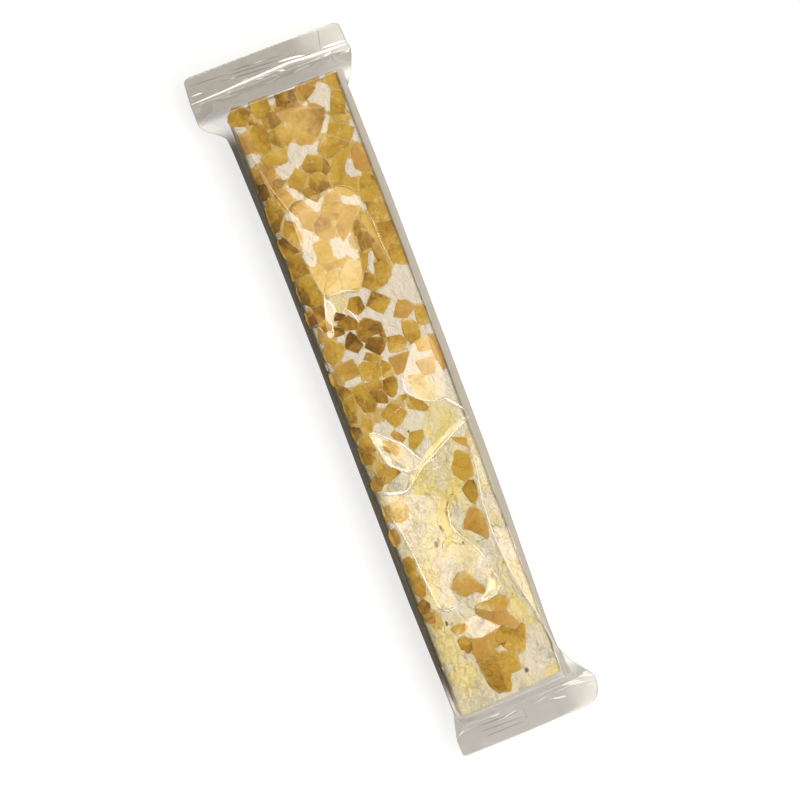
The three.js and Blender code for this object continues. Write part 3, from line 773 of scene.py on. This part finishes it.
# Painted glints: small pale specks stand in for sparkles of light on the sugared peel.
painted_glints = fibre_place.noise(1.3 * MM, 5, 0.75, 0.5)
colour = colour.tint(painted_glints.rise(0.57, 0.70) * (0.12 + 0.58 * grainy), PALE_RIM_AND_GLINT)
relief = strands * 0.5 + sugar * 0.4 + mottle + pulp * 0.5 - pits * grainy * 0.6
bump = start.add("Bump", {}, {"Height": relief, "Strength": 0.35, "Distance": 0.35 * MM})
surface = start.add("BsdfPrincipled", {}, {
    "Base Color": colour, "Roughness": 0.14 + 0.3 * mottle, "Normal": bump, "Specular IOR Level": 0.1,
    "Subsurface Weight": 0.25, "Subsurface Radius": (1.0, 0.6, 0.15), "Subsurface Scale": 1.5 * MM})
start.add("OutputMaterial", {}, {"Surface": surface})
peel.data.materials.append(candied)
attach(peel, "root")


# The film: a web of clear glossy plastic formed into a tube round the stick and sealed flat
# between ribbed jaws at both ends. It lies loose on the broad face, so it stands in shallow
# facets and creases there, and it spreads into two ears where the tube goes over into each fin.
PACK_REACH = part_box("film_wrapped_bar")[1].x
BODY_FOOT = 0.35 * MM
BODY_TOP = 14.9 * MM
LEFT_CORNER = 4.5 * MM           # radius of the film's long edges, loose on the -Y side
RIGHT_CORNER = 1.0 * MM
FIN_GAP = 0.14 * MM              # between the two webs where they are sealed
FIN_HEIGHT = 8.5 * MM
FIN_BOW = 0.9 * MM
FIN_DROOP = (0.4 * MM, 1.2 * MM)
SEAL_START = (103.2 * MM, 102 * MM)
EAR_START = (-91 * MM, 88 * MM)
# The film's two side edges in plan, -Y side first: along and across, in millimetres
SIDE_EDGES = (
    [(-111.5, -23.4), (-111.1, -24.6), (-110.2, -25.2), (-103, -25.8), (-97.3, -25.8), (-95, -24.1),
     (-93, -21.2), (-91, -19.1), (-87, -18.8), (-60, -18.3), (-20, -18.3), (20, -18.8), (60, -19.2),
     (88, -18.9), (96, -18.8), (98, -19.2), (102, -20.4), (106, -21.3), (110.8, -21.2), (111.5, -20.6)],
    [(-111.5, 22.2), (-111.1, 23.4), (-110.2, 24.1), (-105, 24.3), (-103, 24.8), (-101, 24.4),
     (-97, 22.8), (-95, 21.4), (-93, 20.0), (-91, 19.2), (-60, 19.6), (20, 19.3), (40, 19.0),
     (60, 18.4), (70, 18.1), (80, 17.8), (88, 17.9), (92, 19.3), (96, 21.1), (98, 22.5), (100, 24.1),
     (102, 25.7), (103.6, 26.5), (106, 26.3), (108, 26.0), (110, 24.9), (111, 23.2), (111.5, 20.6)])
SLOPE_GAP = 0.5 * MM             # from the stick's end to where the film starts to fall
RIB_PITCH = 1.5 * MM
RIB_DEPTH = 0.05 * MM
STATIONS = 470                   # faces along the pack
AROUND = 176                     # faces round it
TOP_SHARE = 0.6                  # of those round it, on the upper half
RIB_STATIONS = 34                # of those along the pack, in each fin
# Flats of the loose film that lean a little towards +Y: their lean at the -Y edge and at the +Y
# edge, their unevenness, and their corners along and across, in millimetres
FLATS = [
    (0.045, 0.028, 0.008, (-91, -15.5), (-92.5, -10.5), (-93, -5), (-92.5, 2), (-89.5, 10.5), (-83, 9),
     (-78.5, 5.5), (-69, 6.5), (-66.5, 0.5), (-66.5, -5), (-65, -10.5), (-72.5, -13), (-82, -14.5)),
    (0.082, 0.058, 0.010, (-65.5, -10.5), (-66.5, -4.5), (-67, 1), (-66.5, 6.5), (-63, 10), (-58, 10),
     (-55.5, 6), (-53, 4.5), (-43, 4.5), (-39, 2.5), (-36.5, 1), (-37.5, -2.5), (-37.5, -10),
     (-43.5, -11), (-52.5, -11)),
    (0.112, 0.085, 0.012, (-46, -4), (-44.5, -9.5), (-39, -10), (-37.5, -8), (-37, -2), (-37, 0.5),
     (-40, 1.5), (-44, 0)),
    (0.045, 0.040, 0.008, (-58, 10), (-53.5, 7), (-47, 8), (-42, 10), (-37.5, 12.5), (-42, 12),
     (-47, 11.5)),
    (0.160, 0.160, 0.120, (-36.9, -10.1), (-35.7, -8.5), (-32.5, -8.4), (-29.7, -10.6), (-25.9, -11.8),
     (-26.1, -13.6), (-30.4, -12.4)),
    (0.070, 0.062, 0.010, (-15, 9), (-16, 12.5), (-16, 15.5), (-4.5, 15.5), (3.5, 13), (3.5, 9.5),
     (1, 5), (-3, 2), (-7, 3)),
    (0.090, 0.075, 0.012, (5, -12.5), (5.5, -10.5), (9, -7.5), (11.5, -4.5), (15.5, -2.5), (18.5, -0.5),
     (20, -2.5), (20, -6), (18, -8.5), (16, -10.5), (11, -11.5)),
    (0.300, 0.300, 0.060, (5, -12.3), (6.5, -10.3), (10, -8.5), (13.5, -8), (17, -7), (19.5, -4),
     (19.5, -6.5), (17, -9.5), (11, -11.2)),
    (0.105, 0.085, 0.010, (20, -3.5), (16.5, 2), (14.5, 6.5), (12.5, 11), (11, 16.5), (11.5, 17.5),
     (14, 11.5), (16.5, 6.5), (18.5, 2.5), (20, -1), (23, -4.5), (25, -7), (22.5, -6)),
    (0.300, 0.290, 0.070, (20.5, -3), (17, 2.5), (15, 6.5), (13, 11), (11.3, 17), (13, 12.5), (15.6, 7),
     (18, 2.5), (21, -2)),
    (0.078, 0.054, 0.010, (23, -18.5), (24.5, -14), (26, -8.5), (29.5, -2), (31.5, 3), (35.5, 1),
     (39, 0.5), (41.5, 0.5), (46, 3), (49, 5), (53, 6.5), (56.5, 7), (60, 5.5), (60, 2), (55.5, 0),
     (54, -4), (57.5, -7), (61, -6), (63.5, -5.5), (64.5, -8), (63, -11.5), (57, -12.5), (51, -13),
     (42, -13.5), (34, -14.5), (28, -16.5)),
    (0.150, 0.130, 0.060, (51, -12.5), (57, -12), (61.5, -11), (64, -8.5), (63, -6), (59, -7),
     (55.5, -5.5), (52.5, -8)),
    (0.300, 0.300, 0.050, (56.5, 7), (61, 8), (63.5, 8), (65.5, 5.5), (66, 1.5), (65, 1), (63.5, 3.5),
     (60, 5.5)),
    (0.090, 0.080, 0.045, (70, -6.5), (68.5, -3.5), (71, 0), (75.5, 4), (76, 0), (76, -4.5), (73, -7)),
    (0.032, 0.045, 0.008, (17, 15), (26.5, 14), (37.5, 12), (47.5, 11.5), (52, 12), (48, 15),
     (44, 17.8), (17, 18)),
    (0.060, 0.085, 0.010, (47.5, 11.5), (61.5, 12.5), (75, 15.5), (84, 16.5), (84, 17.8), (46, 18),
     (49, 14)),
]
FLAT_EDGE = 0.3 * MM             # how sharply the film turns at a flat's edge
CORNER_ROUNDS = 2                # how often a flat's corners are cut to round them
# Sharp creases: their half width, how hard they are creased, and along and across of their points
CREASES = [
    (0.25, 0.4, (-91, -15.5), (-82, -14.5), (-72.5, -13), (-65, -10.5), (-52.5, -11), (-43.5, -11),
     (-37.5, -10)),
    (0.18, 0.3, (-83, -15), (-70, -13.2), (-64, -11.5)),
    (0.22, 0.5, (-57.5, 11), (-53.5, 11.5), (-47, 11.5), (-42, 12), (-37.5, 12.5)),
    (0.25, 0.3, (-66, 0.5), (-67, 3), (-66.5, 6.5), (-65, 9), (-62.5, 10)),
    (0.35, 0.8, (-37.4, -9.4), (-37.4, -6.7), (-37.4, -4.1), (-36.5, -1.8), (-35.9, -0.2)),
    (0.22, 0.8, (-39, -9.6), (-35.6, -10.8), (-31.5, -12)),
    (0.20, 0.9, (-28.6, -13.1), (-27.4, -12.3), (-26.4, -11.8)),
    (0.25, 0.8, (-36.5, -9.8), (-34.8, -8.8), (-32.8, -8.5), (-31.4, -9.7)),
    (0.22, 0.7, (-32.9, -6.1), (-31.4, -4.8), (-28.4, -3.3), (-27, -3.3)),
    (0.20, 0.9, (-29.7, -10.8), (-27.8, -11.2), (-25.9, -11.8)),
    (0.25, 1.0, (-35.5, -18), (-33, -17)), (0.25, 1.0, (-31.5, -15.5), (-28, -14)),
    (0.25, 1.0, (-30.5, -18), (-31, -14)),
    (0.30, 0.8, (3.5, 13), (3.5, 9.5), (1, 5), (-3, 2), (-7, 3)),
    (0.35, 1.0, (3.5, 12.5), (6, 14.5), (9, 17)),
    (0.20, 0.6, (2, -3.5), (0.8, 0), (0.5, 3)),
    (0.30, 1.0, (5, -12.5), (5.5, -10.5), (9, -7.5), (11.5, -4.5), (15.5, -2.5), (18.5, -0.5)),
    (0.30, 1.0, (5, -12.5), (11, -11.5), (16, -10.5), (18, -8.5), (20, -6), (20, -2.5)),
    (0.40, 1.0, (25, -7), (23, -4.5), (20, -1), (18.5, 2.5), (16.5, 6.5), (14, 11.5), (11.5, 17.5)),
    (0.40, 1.0, (22, -18.2), (24.5, -12.5), (25.5, -8.5), (24, -6), (22.5, -4.5)),
    (0.20, 0.7, (19.5, -1), (19.5, 3.5), (17.5, 9)), (0.18, 0.7, (20.5, -2), (22, 0.5), (22.5, 4)),
    (0.26, 0.8, (22.5, -18), (28, -16.5), (34, -14.5), (42, -13.5), (51, -13), (57, -12.5), (62.5, -12),
     (64.5, -10), (64.5, -7), (63.5, -5.5)),
    (0.22, 0.7, (32, 3.5), (35, 1.5), (39, 0.5), (41.5, 0.5), (46, 3), (49, 5), (53, 6.5), (56.5, 7)),
    (0.30, 1.0, (56.5, 7), (61, 8), (63.5, 8), (65.5, 5.5), (66, 1.5)),
    (0.28, 0.9, (17, 15), (26.5, 14), (37.5, 12), (47.5, 11.5), (61.5, 12.5), (75, 15.2), (84, 16.5)),
    (0.30, 1.0, (60, 11.5), (68, 13.6), (76, 15.6), (90, 17.5)),
]
CREASE_SLOPE = 0.31
CREASE_STEP = 0.6 * MM           # between the points along a crease
CREASE_LIFT = 0.03 * MM          # so that its feet lie on the film
# The jaws' sharp lines across each end, and the edge of the back seam that shows through the fin
END_LINES = [
    (0.55, 1.0, (-103.9, -25.2), (-104, -15.5), (-104.5, -3.5), (-105, 5.5), (-104.6, 11.5),
     (-104.5, 24)),
    (0.30, 1.0, (-102.4, -17), (-102, -11.5)), (0.30, 1.0, (-102, 6), (-102.5, 11.5)),
    (0.40, 1.0, (-105.6, 16.5), (-105.5, 24)), (0.25, 0.8, (-106, -24.5), (-106, -21)),
    (0.45, 1.0, (-106.4, 3), (-105.6, 11)), (0.30, 1.0, (-97, -25), (-99.5, -21)),
    (0.20, 0.8, (-101.5, 19.5), (-103, 24)), (0.14, -0.8, (-111.3, 17.5), (-105.5, 16)),
    (0.16, -1.0, (-109, -11.5), (-108, 4)), (0.16, -1.0, (-108, -12.5), (-107, 3)),
    (0.16, -1.0, (-107, -15), (-106, 0.5)), (0.12, -0.8, (-109, -24), (-108.5, -12.5)),
    (0.50, 1.0, (102, -20), (102, -8.5), (101.5, 0), (101, 6), (100, 14.5)),
    (0.40, 1.0, (103, -20), (102.6, -15.5), (102.5, -9)), (0.30, 1.0, (102, 4), (102, 12.5)),
    (0.50, 1.0, (100.5, 16), (103, 26)), (0.40, 1.0, (103, 16.5), (104, 23)),
    (0.35, 1.0, (105.5, 21.5), (105.5, 25.8)), (0.30, 1.0, (105, -20.8), (103.5, -18)),
    (0.14, -0.8, (102, 2), (108.5, 1.5)), (0.16, -1.0, (104, -13.5), (104.5, 0)),
    (0.16, -1.0, (106, -13), (106.5, 0.5)), (0.16, -1.0, (108, -12), (108, 0)),
]
# Short glinting creases along each crimp: how many, where along and across, their run and half width in
# millimetres, how far they turn from straight across, and how hard they are creased
CRINKLES = 20
CRINKLE_ALONG = (100, 105)
CRINKLE_ACROSS = (-21, 18)
CRINKLE_RUN = (1.5, 6)
CRINKLE_WIDTH = (0.12, 0.3)
CRINKLE_BEND = 0.2
CRINKLE_TURN = 0.25
CRINKLE_SHARPNESS = (0.5, 1)
SEAM_EDGES = (-3.5 * MM, 6.5 * MM)   # the back seam, laid flat against the underside
SEAM_HEIGHT = 0.2 * MM
SEAM_SWAY = 0.2 * MM
SEAM_PUCKER = 0.05 * MM
SEAM_STATIONS = 200
SEAM_ROWS = 8
SEAM_MILKY = 0.4                 # two webs together are a little milky
RIPPLE_SEED = 3
RIPPLES = 16                     # slow waves of the whole film
RIPPLE_LENGTH = (7, 38)          # of those waves, in millimetres
RIPPLE_SLOPE = 0.005

half_body = (BODY_TOP - BODY_FOOT) / 2
body_middle = (BODY_TOP + BODY_FOOT) / 2

draw = random.Random(RIPPLE_SEED)
ripple_waves = []
for _ in range(RIPPLES):
    wave_length = draw.uniform(*RIPPLE_LENGTH) * MM
    heading = draw.uniform(0, math.pi)
    ripple_waves.append((2 * math.pi / wave_length, heading, draw.uniform(0, 2 * math.pi)))


def lean_of_flats(x, y):
    """How far the film's flats lean towards +Y at points along and across."""
    lean = np.zeros_like(x)
    streaks = np.sin(x / (1.1 * MM) + 2.0 * np.sin(y / (3 * MM))) * np.sin(y / (2.3 * MM) + x / (4 * MM))
    for near_lean, far_lean, uneven, *corners in FLATS:
        outline = np.array(corners) * MM
        for _ in range(CORNER_ROUNDS):
            after = np.roll(outline, -1, axis=0)
            rounded = [0.8 * outline + 0.2 * after, 0.2 * outline + 0.8 * after]
            outline = np.stack(rounded, axis=1).reshape(-1, 2)
        low, high = outline.min(axis=0), outline.max(axis=0)
        near = (x > low[0] - MM) & (x < high[0] + MM) & (y > low[1] - MM) & (y < high[1] + MM)
        depth = depth_in(outline, x[near], y[near])
        tilt = np.interp(y[near], [low[1], high[1]], [near_lean, far_lean]) + uneven * streaks[near]
        lean[near] = np.maximum(lean[near], tilt * smooth_step(depth, -FLAT_EDGE, FLAT_EDGE))
    return lean


def ripple(x, y):
    """Slow unevenness of the whole film."""
    return sum(
        RIPPLE_SLOPE / waves * np.sin(waves * (x * math.cos(heading) + y * math.sin(heading)) + shift)
        for waves, heading, shift in ripple_waves)


def film_section(x, side):
    """The film's section at x on one side: half width, corner radius, quarter of its way round, fin edge,
    the fin edge where the crimp begins, and how far the film is spread and pressed towards the fin."""
    def edge_at(place):
        left, right = (np.interp(place, *(np.array(edge).T * MM)) for edge in SIDE_EDGES)
        return np.where(side > 0, right, -left)

    reach = np.abs(x)
    seal = np.where(x < 0, *SEAL_START)
    body = edge_at(np.clip(x, *EAR_START))
    corner = np.where(side > 0, RIGHT_CORNER, LEFT_CORNER)
    quarter = body - corner + corner * math.pi / 2 + half_body - corner
    edge = edge_at(x)
    widest = edge_at(np.sign(x) * seal)
    spread = np.where(reach < seal, np.clip((edge - body) / (widest - body), 0, 1), 1.0)
    slope_start = half_length + SLOPE_GAP
    pressed = np.clip((reach - slope_start) / (seal - slope_start), 0, 1)
    return body, corner, quarter, np.where(reach < seal, widest, edge), spread, pressed


def formed_film(x, way):
    """Places of film points: x along the pack, and way round it in quarters from the middle of its top."""
    side = np.where(way < 0, -1, 1)
    body, corner, quarter, fin_edge, spread, pressed = film_section(x, side)
    on_top = np.abs(way) <= 1
    flat = np.where(on_top, np.abs(way), 2 - np.abs(way))
    run = flat * quarter
    half_top = body - corner
    half_side = half_body - corner
    turn = np.clip((run - half_top) / corner, 0, math.pi / 2)
    across = np.minimum(run, half_top) + corner * np.sin(turn)
    up = half_side + corner * np.cos(turn) - np.maximum(run - half_top - corner * math.pi / 2, 0)
    up = np.where(on_top, up, -up)
    body_y = side * across
    y = body_y * (1 - spread) + side * flat * fin_edge * spread

    face_share = smooth_step(up, half_side, half_body)
    body_z = body_middle + up + face_share * ripple(x, body_y)
    bow = FIN_BOW * (0.5 - flat ** 2)
    droop = np.where(x < 0, *FIN_DROOP) * side * flat / 2
    past_seal = np.abs(x) - np.where(x < 0, *SEAL_START)
    ribbed = smooth_step(past_seal, 3 * MM, 3.5 * MM)
    ribbed = ribbed * smooth_step(y, 4 * MM, 0) * smooth_step(y, -15 * MM, -11 * MM)
    rib = RIB_DEPTH / 2 * ribbed * np.sin(2 * math.pi * past_seal / RIB_PITCH)
    web = np.where(on_top, 1, -1) * (flat < 0.9999)
    gap = web * FIN_GAP / 2 * (np.abs(x) < PACK_REACH - 1e-6)
    fin_z = FIN_HEIGHT + bow + droop + rib + gap + ripple(x, y) * 0.6
    z = body_z * (1 - pressed) + fin_z * pressed
    return np.stack([x, y, z], axis=-1)


def on_upper_film(points):
    """Places on the film's upper face over points along and across."""
    x, y = points.T
    side = np.where(y < 0, -1, 1)
    _, _, quarter, fin_edge, spread, _ = film_section(x, side)
    return formed_film(x, y / (quarter * (1 - spread) + fin_edge * spread))


class CreaseHeap:
    """Collects creases, each two narrow slopes that meet in a sharp ridge, for one mesh."""

    def __init__(self):
        self.points, self.faces, self.folded = [], [], []

    def fold(self, half_width, sharpness, corners):
        """Folds a crease along a smooth line through corners, running out to nothing at its ends."""
        corners = np.array(corners) * MM
        runs = np.hypot(*np.diff(corners, axis=0).T)
        stops = np.concatenate([[0], np.cumsum(runs)])
        steps = max(5, int(stops[-1] / CREASE_STEP))
        along = np.linspace(0, stops[-1], steps)
        line = np.stack([np.interp(along, stops, corners[:, k]) for k in (0, 1)], axis=-1)
        for _ in range(4):
            line[1:-1] = (line[:-2] + 2 * line[1:-1] + line[2:]) / 4
        heading = np.gradient(line, axis=0)
        heading /= np.hypot(*heading.T)[:, None]
        beside = np.stack([-heading[:, 1], heading[:, 0]], axis=-1)
        share = along / stops[-1]
        width = half_width * MM * np.sin(math.pi * np.clip(share, 0.02, 0.98)) ** 0.5
        slope = CREASE_SLOPE * (0.4 + 0.6 * max(sharpness, 0))
        ridge = on_upper_film(line)
        ridge[:, 2] += CREASE_LIFT + slope * width
        for turn in (-1, 1):
            foot = on_upper_film(line + turn * beside * width[:, None])
            foot[:, 2] += CREASE_LIFT
            first = len(self.points)
            self.points += [*ridge.tolist(), *foot.tolist()]
            self.folded += [sharpness] * (2 * steps)
            for k in range(steps - 1):
                quad = (first + k, first + k + 1, first + steps + k + 1, first + steps + k)
                self.faces.append(quad if turn < 0 else quad[::-1])


bpy.ops.object.select_all(action="DESELECT")
bpy.ops.mesh.primitive_grid_add(x_subdivisions=STATIONS, y_subdivisions=AROUND, size=1)
film = bpy.context.object
film.name = "clear_film"
flat_web = np.empty(len(film.data.vertices) * 3)
film.data.vertices.foreach_get("co", flat_web)
flat_web = flat_web.reshape(-1, 3) + 0.5
rib_share = RIB_STATIONS / STATIONS
stops = [0, rib_share, 1 - rib_share, 1]
places = [-PACK_REACH, -SEAL_START[0], SEAL_START[1], PACK_REACH]
along = np.interp(flat_web[:, 0], stops, places)
way = np.interp(flat_web[:, 1], [0, 0.5 - TOP_SHARE / 2, 0.5 + TOP_SHARE / 2, 1], [-2, -1, 1, 2])
film.data.vertices.foreach_set("co", formed_film(along, way).ravel())
use_only(film)
bpy.ops.object.mode_set(mode="EDIT")
bpy.ops.mesh.select_all(action="SELECT")
bpy.ops.mesh.remove_doubles(threshold=0.002 * MM)
bpy.ops.mesh.normals_make_consistent(inside=False)
bpy.ops.object.mode_set(mode="OBJECT")
bpy.ops.object.shade_smooth()
film.data.attributes.new("folded", "FLOAT", "POINT")

creases = CreaseHeap()
for fold_width, sharpness, *corners in CREASES + END_LINES:
    creases.fold(fold_width, sharpness, corners)
for end in (-1, 1):
    for _ in range(CRINKLES):
        along = end * draw.uniform(*CRINKLE_ALONG)
        across = draw.uniform(*CRINKLE_ACROSS)
        run = draw.uniform(*CRINKLE_RUN)
        heading = math.pi / 2 + draw.uniform(-CRINKLE_TURN, CRINKLE_TURN)
        step_x, step_y = run * math.cos(heading), run * math.sin(heading)
        middle = (along + step_x / 2 + draw.uniform(-CRINKLE_BEND, CRINKLE_BEND), across + step_y / 2)
        corners = [(along, across), middle, (along + step_x, across + step_y)]
        creases.fold(draw.uniform(*CRINKLE_WIDTH), draw.uniform(*CRINKLE_SHARPNESS), corners)
mesh = bpy.data.meshes.new("film_creases")
mesh.from_pydata(creases.points, [], creases.faces)
folds = bpy.data.objects.new("film_creases", mesh)
bpy.context.collection.objects.link(folds)
use_only(folds)
bpy.ops.object.shade_smooth()
point_values(folds, "folded", creases.folded)
bpy.ops.object.select_all(action="DESELECT")
bpy.ops.mesh.primitive_grid_add(x_subdivisions=SEAM_STATIONS, y_subdivisions=SEAM_ROWS, size=1)
seam = bpy.context.object
seam.name = "back_seam"
for vertex in seam.data.vertices:
    along = vertex.co.x * 2 * half_length
    across = np.interp(vertex.co.y, [-0.5, 0.5], SEAM_EDGES) + SEAM_SWAY * math.sin(along / (9 * MM))
    vertex.co = (along, across, SEAM_HEIGHT + SEAM_PUCKER * math.sin(along / (3 * MM) + across / MM))
bpy.ops.object.mode_set(mode="EDIT")
bpy.ops.mesh.select_all(action="SELECT")
bpy.ops.mesh.flip_normals()
bpy.ops.object.mode_set(mode="OBJECT")
bpy.ops.object.shade_smooth()
point_values(seam, "folded", [SEAM_MILKY] * len(seam.data.vertices))
use_only(film)
folds.select_set(True)
seam.select_set(True)
bpy.ops.object.join()
mesh = film.data
places = np.empty(len(mesh.vertices) * 3)
mesh.vertices.foreach_get("co", places)
places = places.reshape(-1, 3)
normals = np.empty(len(mesh.vertices) * 3)
mesh.vertices.foreach_get("normal", normals)
normals = normals.reshape(-1, 3)
on_fold = np.empty(len(mesh.vertices))
mesh.attributes["folded"].data.foreach_get("value", on_fold)
flats = (on_fold == 0) & (places[:, 2] > body_middle) & (normals[:, 2] > 0.7)
normals[flats, 1] += lean_of_flats(places[flats, 0], places[flats, 1])
normals /= np.linalg.norm(normals, axis=1)[:, None]
mesh.normals_split_custom_set_from_vertices(normals.tolist())

HAZE_GREY = (0.34, 0.30, 0.23, 1)
SIDE_GREY = (0.40, 0.36, 0.295, 1)
MILKY_FOLD_AND_GLINT = (0.80, 0.77, 0.70, 1)
RIB_SHADE = (0.20, 0.185, 0.16, 1)
PAINTED_EDGE_SHADE = (0.10, 0.088, 0.058, 1)
OVER_NOUGAT = (1, 0.74, 0.45, 1)  # the gloss of the film where it lies on the stick, and elsewhere
OVER_FLOOR = (1, 0.96, 0.90, 1)
GLOSS = 0.05
clear, start = new_finish("film_wrap")
place = start.add("TexCoord", output="Object")
parts = place.split()
folded = start.stored("folded")
on_fold = folded.rise(0.0, 1.0)
on_rib = folded.rise(0.0, -1.0)
cloudy = place.noise(11 * MM, 3)
past_end = abs(parts.out("X")).rise(half_length - 1 * MM, half_length + 2 * MM)
on_ledge = parts.out("Z").rise(BODY_TOP - 3 * MM, BODY_TOP - 1 * MM)
from_right = parts.out("Y") - half_width + parts.out("X").rise(-30 * MM, 30 * MM) * (0.6 * MM)
past_side = from_right.rise(-0.5 * MM, 0.2 * MM) * (1 - past_end) * on_ledge
along_side = parts.out("X").rise(-95 * MM, -87 * MM) * parts.out("X").rise(96 * MM, 84 * MM)
from_left = half_width + parts.out("Y") + parts.out("X").rise(-10 * MM, 40 * MM) * (1.0 * MM)
left_edge = from_left.rise(1.6 * MM, 0.4 * MM) * along_side
left_shade = from_left.rise(4 * MM, 0.8 * MM) * along_side
haze = past_end * (0.28 + 0.2 * cloudy + 0.1 * parts.out("X").rise(10 * MM, -10 * MM))
haze = haze.at_least(past_side * (0.70 + 0.42 * cloudy))
# The crease ribbons and the back seam turn milky white: partly film whitened where it is creased or doubled,
# partly painted highlight along the creases and crimp lines.
haze = 0.003 + haze.at_least(on_fold * 0.22)
haze = haze.at_least(on_rib * 0.45)
haze_colour = start.mixed(past_side, HAZE_GREY, SIDE_GREY)
haze_colour = haze_colour.tint(on_fold, MILKY_FOLD_AND_GLINT).tint(on_rib, RIB_SHADE)
facing = start.add("LayerWeight", {}, {"Blend": 0.5}, "Facing")
seen_through = start.add("BsdfTransparent", {}, {"Color": (1, 1, 1, 1)})
milky = start.add("BsdfPrincipled", {}, {
    "Base Color": haze_colour, "Roughness": 0.5, "Specular IOR Level": 0.1})
painted_shade_layer = start.add("BsdfDiffuse", {}, {"Color": PAINTED_EDGE_SHADE})
warm_mirror = start.add("BsdfAnisotropic", {}, {"Color": OVER_NOUGAT, "Roughness": GLOSS})
white_mirror = start.add("BsdfAnisotropic", {}, {"Color": OVER_FLOOR, "Roughness": GLOSS})
body = start.add("MixShader", {}, {0: haze, 1: seen_through, 2: milky})
# Painted shade: a dark layer over the film's -Y edge, and wherever the film is seen edge-on, stands in for
# the shaded side of the stick and the dark surroundings the film reflects.
painted_shade_share = left_edge * facing.rise(0.03, 0.30) * 0.78
painted_shade_share = painted_shade_share.at_least(left_shade * 0.22)
painted_shade_share = painted_shade_share.at_least(facing.rise(0.72, 0.95) * 0.6)
body = start.add("MixShader", {}, {0: painted_shade_share, 1: body, 2: painted_shade_layer})
bare = on_fold.at_least(past_end)
mirror = start.add("MixShader", {}, {0: bare, 1: warm_mirror, 2: white_mirror})
dull = painted_shade_share.at_least(past_side * 0.85)
gloss_share = (0.08 + 0.10 * facing ** 5) * (1 - dull) + 0.06 * on_fold
surface = start.add("MixShader", {}, {0: gloss_share, 1: body, 2: mirror})
start.add("OutputMaterial", {}, {"Surface": surface})
film.data.materials.append(clear)
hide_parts("film_wrapped_bar")
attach(film, "root")


# The floor, the light and the camera: a pale tabletop, a soft panel over the photograph's right side,
# a room with a bright ceiling on that side and a bright wall beyond each end, which the film and its
# crimps reflect, and the photograph's view.
FLOOR_REACH = 3.0
FLOOR_GLOW = 0.73
KEY_PLACE = Vector((0.09, 0.42, 0.60))
KEY_AIM = Vector((0.09, 0.4201, 0))
KEY_SIZE = (0.80, 0.10)
KEY_POWER = 1.2
bpy.ops.object.select_all(action="DESELECT")
bpy.ops.mesh.primitive_grid_add(x_subdivisions=4, y_subdivisions=4, size=2 * FLOOR_REACH)
floor = bpy.context.object
floor.name = "floor"
tabletop, start = new_finish("tabletop")
place = start.add("TexCoord", output="Object")
shade = place.noise(120 * MM, 2)
colour = start.add("ValToRGB", {"stops": [
    (0.3, (0.24, 0.24, 0.238)), (0.7, (0.27, 0.27, 0.268))]}, {0: shade})
surface = start.add("BsdfPrincipled", {}, {
    "Base Color": colour, "Roughness": 0.7, "Emission Color": (1, 1, 0.995, 1),
    "Emission Strength": FLOOR_GLOW})
start.add("OutputMaterial", {}, {"Surface": surface})
floor.data.materials.append(tabletop)

lamp = bpy.data.lights.new("key_panel", "AREA")
lamp.shape = "RECTANGLE"
lamp.size, lamp.size_y = KEY_SIZE
lamp.energy = KEY_POWER
panel = bpy.data.objects.new("key_panel", lamp)
panel.location = KEY_PLACE
panel.rotation_euler = (KEY_AIM - KEY_PLACE).to_track_quat("-Z", "Y").to_euler()
bpy.context.collection.objects.link(panel)

world = bpy.data.worlds.new("studio")
bpy.context.scene.world = world
world.use_nodes = True
world.node_tree.nodes.clear()
sky = Wire(world.node_tree)
direction = sky.add("TexCoord", output="Generated")
parts = direction.split()
height = parts.out("Z").at_least(0.05)
lean_x = parts.out("X") / height
lean_y = parts.out("Y") / height
ceiling = lean_y.rise(0.14, 0.28) * lean_y.rise(1.0, 0.7) * abs(lean_x - 0.15).rise(1.5, 1.0)
first_wall = lean_x.rise(-0.45, -0.52) * lean_x.rise(-0.85, -0.75)
far_wall = lean_x.rise(0.78, 0.85) * lean_x.rise(1.15, 1.05)
end_walls = (first_wall + far_wall) * abs(lean_y - 0.08).rise(0.3, 0.2)
fill = 0.20 + 0.05 * parts.out("Z") + 0.06 * parts.out("Y")
glow = fill.at_least(0.03) + 3.2 * ceiling + 6 * end_walls
background = sky.add("Background", {}, {"Color": (1, 0.98, 0.935, 1), "Strength": glow})
sky.add("OutputWorld", {}, {"Surface": background})
bpy.context.scene.view_settings.view_transform = "Standard"

PHOTO_WIDTH = 800
FOCAL_PIXELS = 1741
CAMERA_PLACE = Vector((-75.8, -51.9, 526.5)) * MM
CAMERA_AIM = Vector((-0.7, -0.1, 14.2)) * MM
PHOTO_UP = Vector((-0.9228, 0.3728, -0.0975))
lens = bpy.data.cameras.new("photo_camera")
lens.sensor_fit = "HORIZONTAL"
lens.lens = lens.sensor_width * FOCAL_PIXELS / PHOTO_WIDTH
camera = bpy.data.objects.new("photo_camera", lens)
back = (CAMERA_PLACE - CAMERA_AIM).normalized()
right = PHOTO_UP.cross(back).normalized()
turn = Matrix([right, back.cross(right), back]).transposed().to_4x4()
camera.matrix_world = Matrix.Translation(CAMERA_PLACE) @ turn
bpy.context.collection.objects.link(camera)
bpy.context.scene.camera = camera
